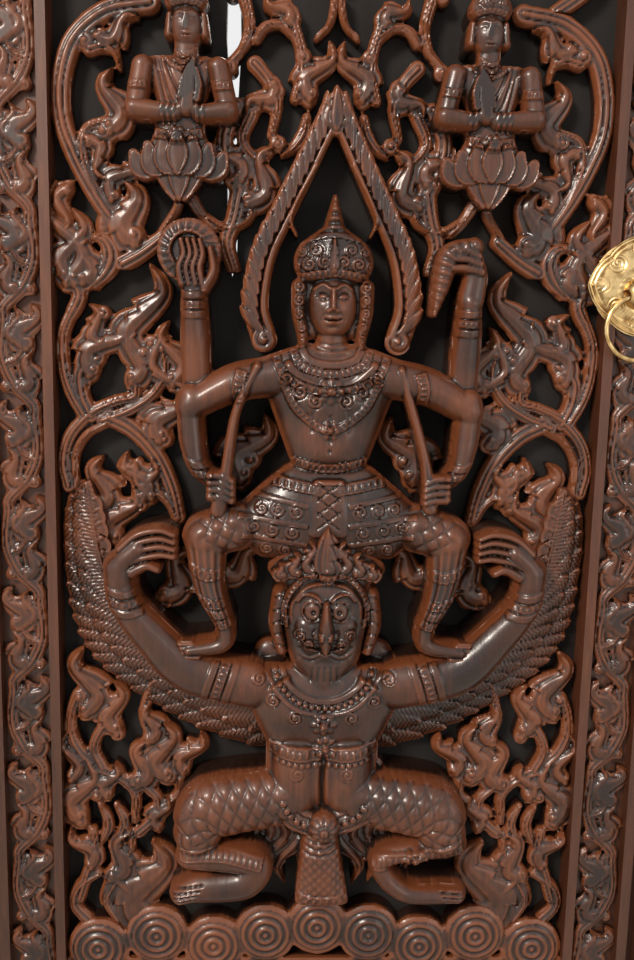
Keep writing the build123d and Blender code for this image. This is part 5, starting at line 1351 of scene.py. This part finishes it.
mesh = newMesh("pull_chasing", points, faces, edged(dull, dull[:, 0], dull[:, -1]).ravel())
plateSkin = bpy.data.objects.new("pull_chasing", mesh)
bpy.context.collection.objects.link(plateSkin)
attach(plateSkin, "leaf")
mesh.materials.append(finishes["brass"])
print("pull plate chased", 2 * len(faces), "triangles")

# The floor the door stands on, and soft light: one large panel high on the left and front, one low and
# weak on the right, one behind, and an even sky. Far out the floor fades into the pale backdrop. Places
# and sizes here are in metres
studio = {"floor": (0.8, 0.8, 0.79), "backdrop": (0.86, 0.86, 0.86), "fade": (2.5, 7.0),
          "sky": (0.95, 0.87, 0.8), "skyStrength": 0.15, "lampColour": (1.0, 0.9, 0.8),
          "lamps": {"key": {"place": (-2.2, -3.2, 3.4), "size": 1.1, "power": 190},
                    "fill": {"place": (2.6, -2.8, 1.2), "size": 2.0, "power": 16},
                    "back": {"place": (1.2, 3.4, 3.0), "size": 2.0, "power": 114}}}


def backdropRays(nodes, links):
    # One for a ray that comes from the camera, off a glossy surface or through glass, so that metal shows
    # the backdrop too, and none for the light that falls on the door
    path = addNode(nodes, "LightPath")
    total = path.outputs["Is Camera Ray"]
    for kind in ("Is Glossy Ray", "Is Transmission Ray"):
        more = addNode(nodes, "Math", operation="ADD")
        more.use_clamp = True
        join(links, (total, more.inputs[0]), (path.outputs[kind], more.inputs[1]))
        total = more.outputs[0]
    return total


bpy.ops.mesh.primitive_plane_add(size=60, location=(0, 0, min(cadBox[0][2], 0) - 0.001))
floor = bpy.context.object
floor.name = "studio_floor"
floorMaterial, nodes, links = newMaterial("studio_floor")
shader = nodes["Principled BSDF"]
shader.inputs["Base Color"].default_value = (*studio["floor"], 1)
shader.inputs["Roughness"].default_value = 0.8
floorPlace = addNode(nodes, "TexCoord")
away = addNode(nodes, "VectorMath", operation="LENGTH")
fade = addNode(nodes, "MapRange", {"From Min": studio["fade"][0], "From Max": studio["fade"][1]})
both = addNode(nodes, "Math", operation="MULTIPLY")
glow = addNode(nodes, "Emission", {"Color": (*studio["backdrop"], 1)})
floorMix = addNode(nodes, "MixShader")
join(links, (floorPlace.outputs["Object"], away.inputs[0]), (away.outputs["Value"], fade.inputs["Value"]),
     (fade.outputs["Result"], both.inputs[0]), (backdropRays(nodes, links), both.inputs[1]),
     (both.outputs[0], floorMix.inputs["Fac"]), (shader.outputs["BSDF"], floorMix.inputs[1]),
     (glow.outputs["Emission"], floorMix.inputs[2]),
     (floorMix.outputs["Shader"], nodes["Material Output"].inputs["Surface"]))
floor.data.materials.append(floorMaterial)

middle = Vector([(cadBox[0][k] + cadBox[1][k]) / 2 for k in range(3)])
for name, look in studio["lamps"].items():
    lamp = bpy.data.lights.new(name, "AREA")
    lamp.size = look["size"]
    lamp.energy = look["power"]
    lamp.color = studio["lampColour"]
    lampObject = bpy.data.objects.new(name, lamp)
    lampObject.location = look["place"]
    lampObject.rotation_euler = (middle - Vector(look["place"])).to_track_quat("-Z", "Y").to_euler()
    bpy.context.collection.objects.link(lampObject)

world = bpy.data.worlds.new("studio")
bpy.context.scene.world = world
world.use_nodes = True
nodes, links = world.node_tree.nodes, world.node_tree.links
sky = nodes["Background"]
sky.inputs["Color"].default_value = (*studio["sky"], 1)
sky.inputs["Strength"].default_value = studio["skyStrength"]
backdrop = addNode(nodes, "Background", {"Color": (*studio["backdrop"], 1), "Strength": 1.0})
mix = addNode(nodes, "MixShader")
join(links, (backdropRays(nodes, links), mix.inputs["Fac"]), (sky.outputs["Background"], mix.inputs[1]),
     (backdrop.outputs["Background"], mix.inputs[2]),
     (mix.outputs["Shader"], nodes["World Output"].inputs["Surface"]))

# The camera stands where the photograph was taken: about a metre away, at chest height, pitched down
view = {"place": (-0.048, -1.048, 1.1), "pitch": 8.83, "yaw": 2.03, "roll": 1.23, "lens": 34.99}
pitch, yaw, roll = (np.radians(view[key]) for key in ("pitch", "yaw", "roll"))
forward = Vector((np.sin(yaw) * np.cos(pitch), np.cos(yaw) * np.cos(pitch), -np.sin(pitch)))
level = Vector((np.cos(yaw), -np.sin(yaw), 0))
upright = level.cross(forward)
right = np.cos(roll) * level + np.sin(roll) * upright
upright = -np.sin(roll) * level + np.cos(roll) * upright
camera = bpy.data.cameras.new("camera")
camera.lens = view["lens"]
camera.sensor_width = 36
camera.clip_start = 0.02
cameraObject = bpy.data.objects.new("camera", camera)
facing = Matrix((right, upright, -forward)).transposed().to_4x4()
cameraObject.matrix_world = Matrix.Translation(view["place"]) @ facing
bpy.context.collection.objects.link(cameraObject)
bpy.context.scene.camera = cameraObject
bpy.context.scene.view_settings.view_transform = "Standard"
print("studio ready")
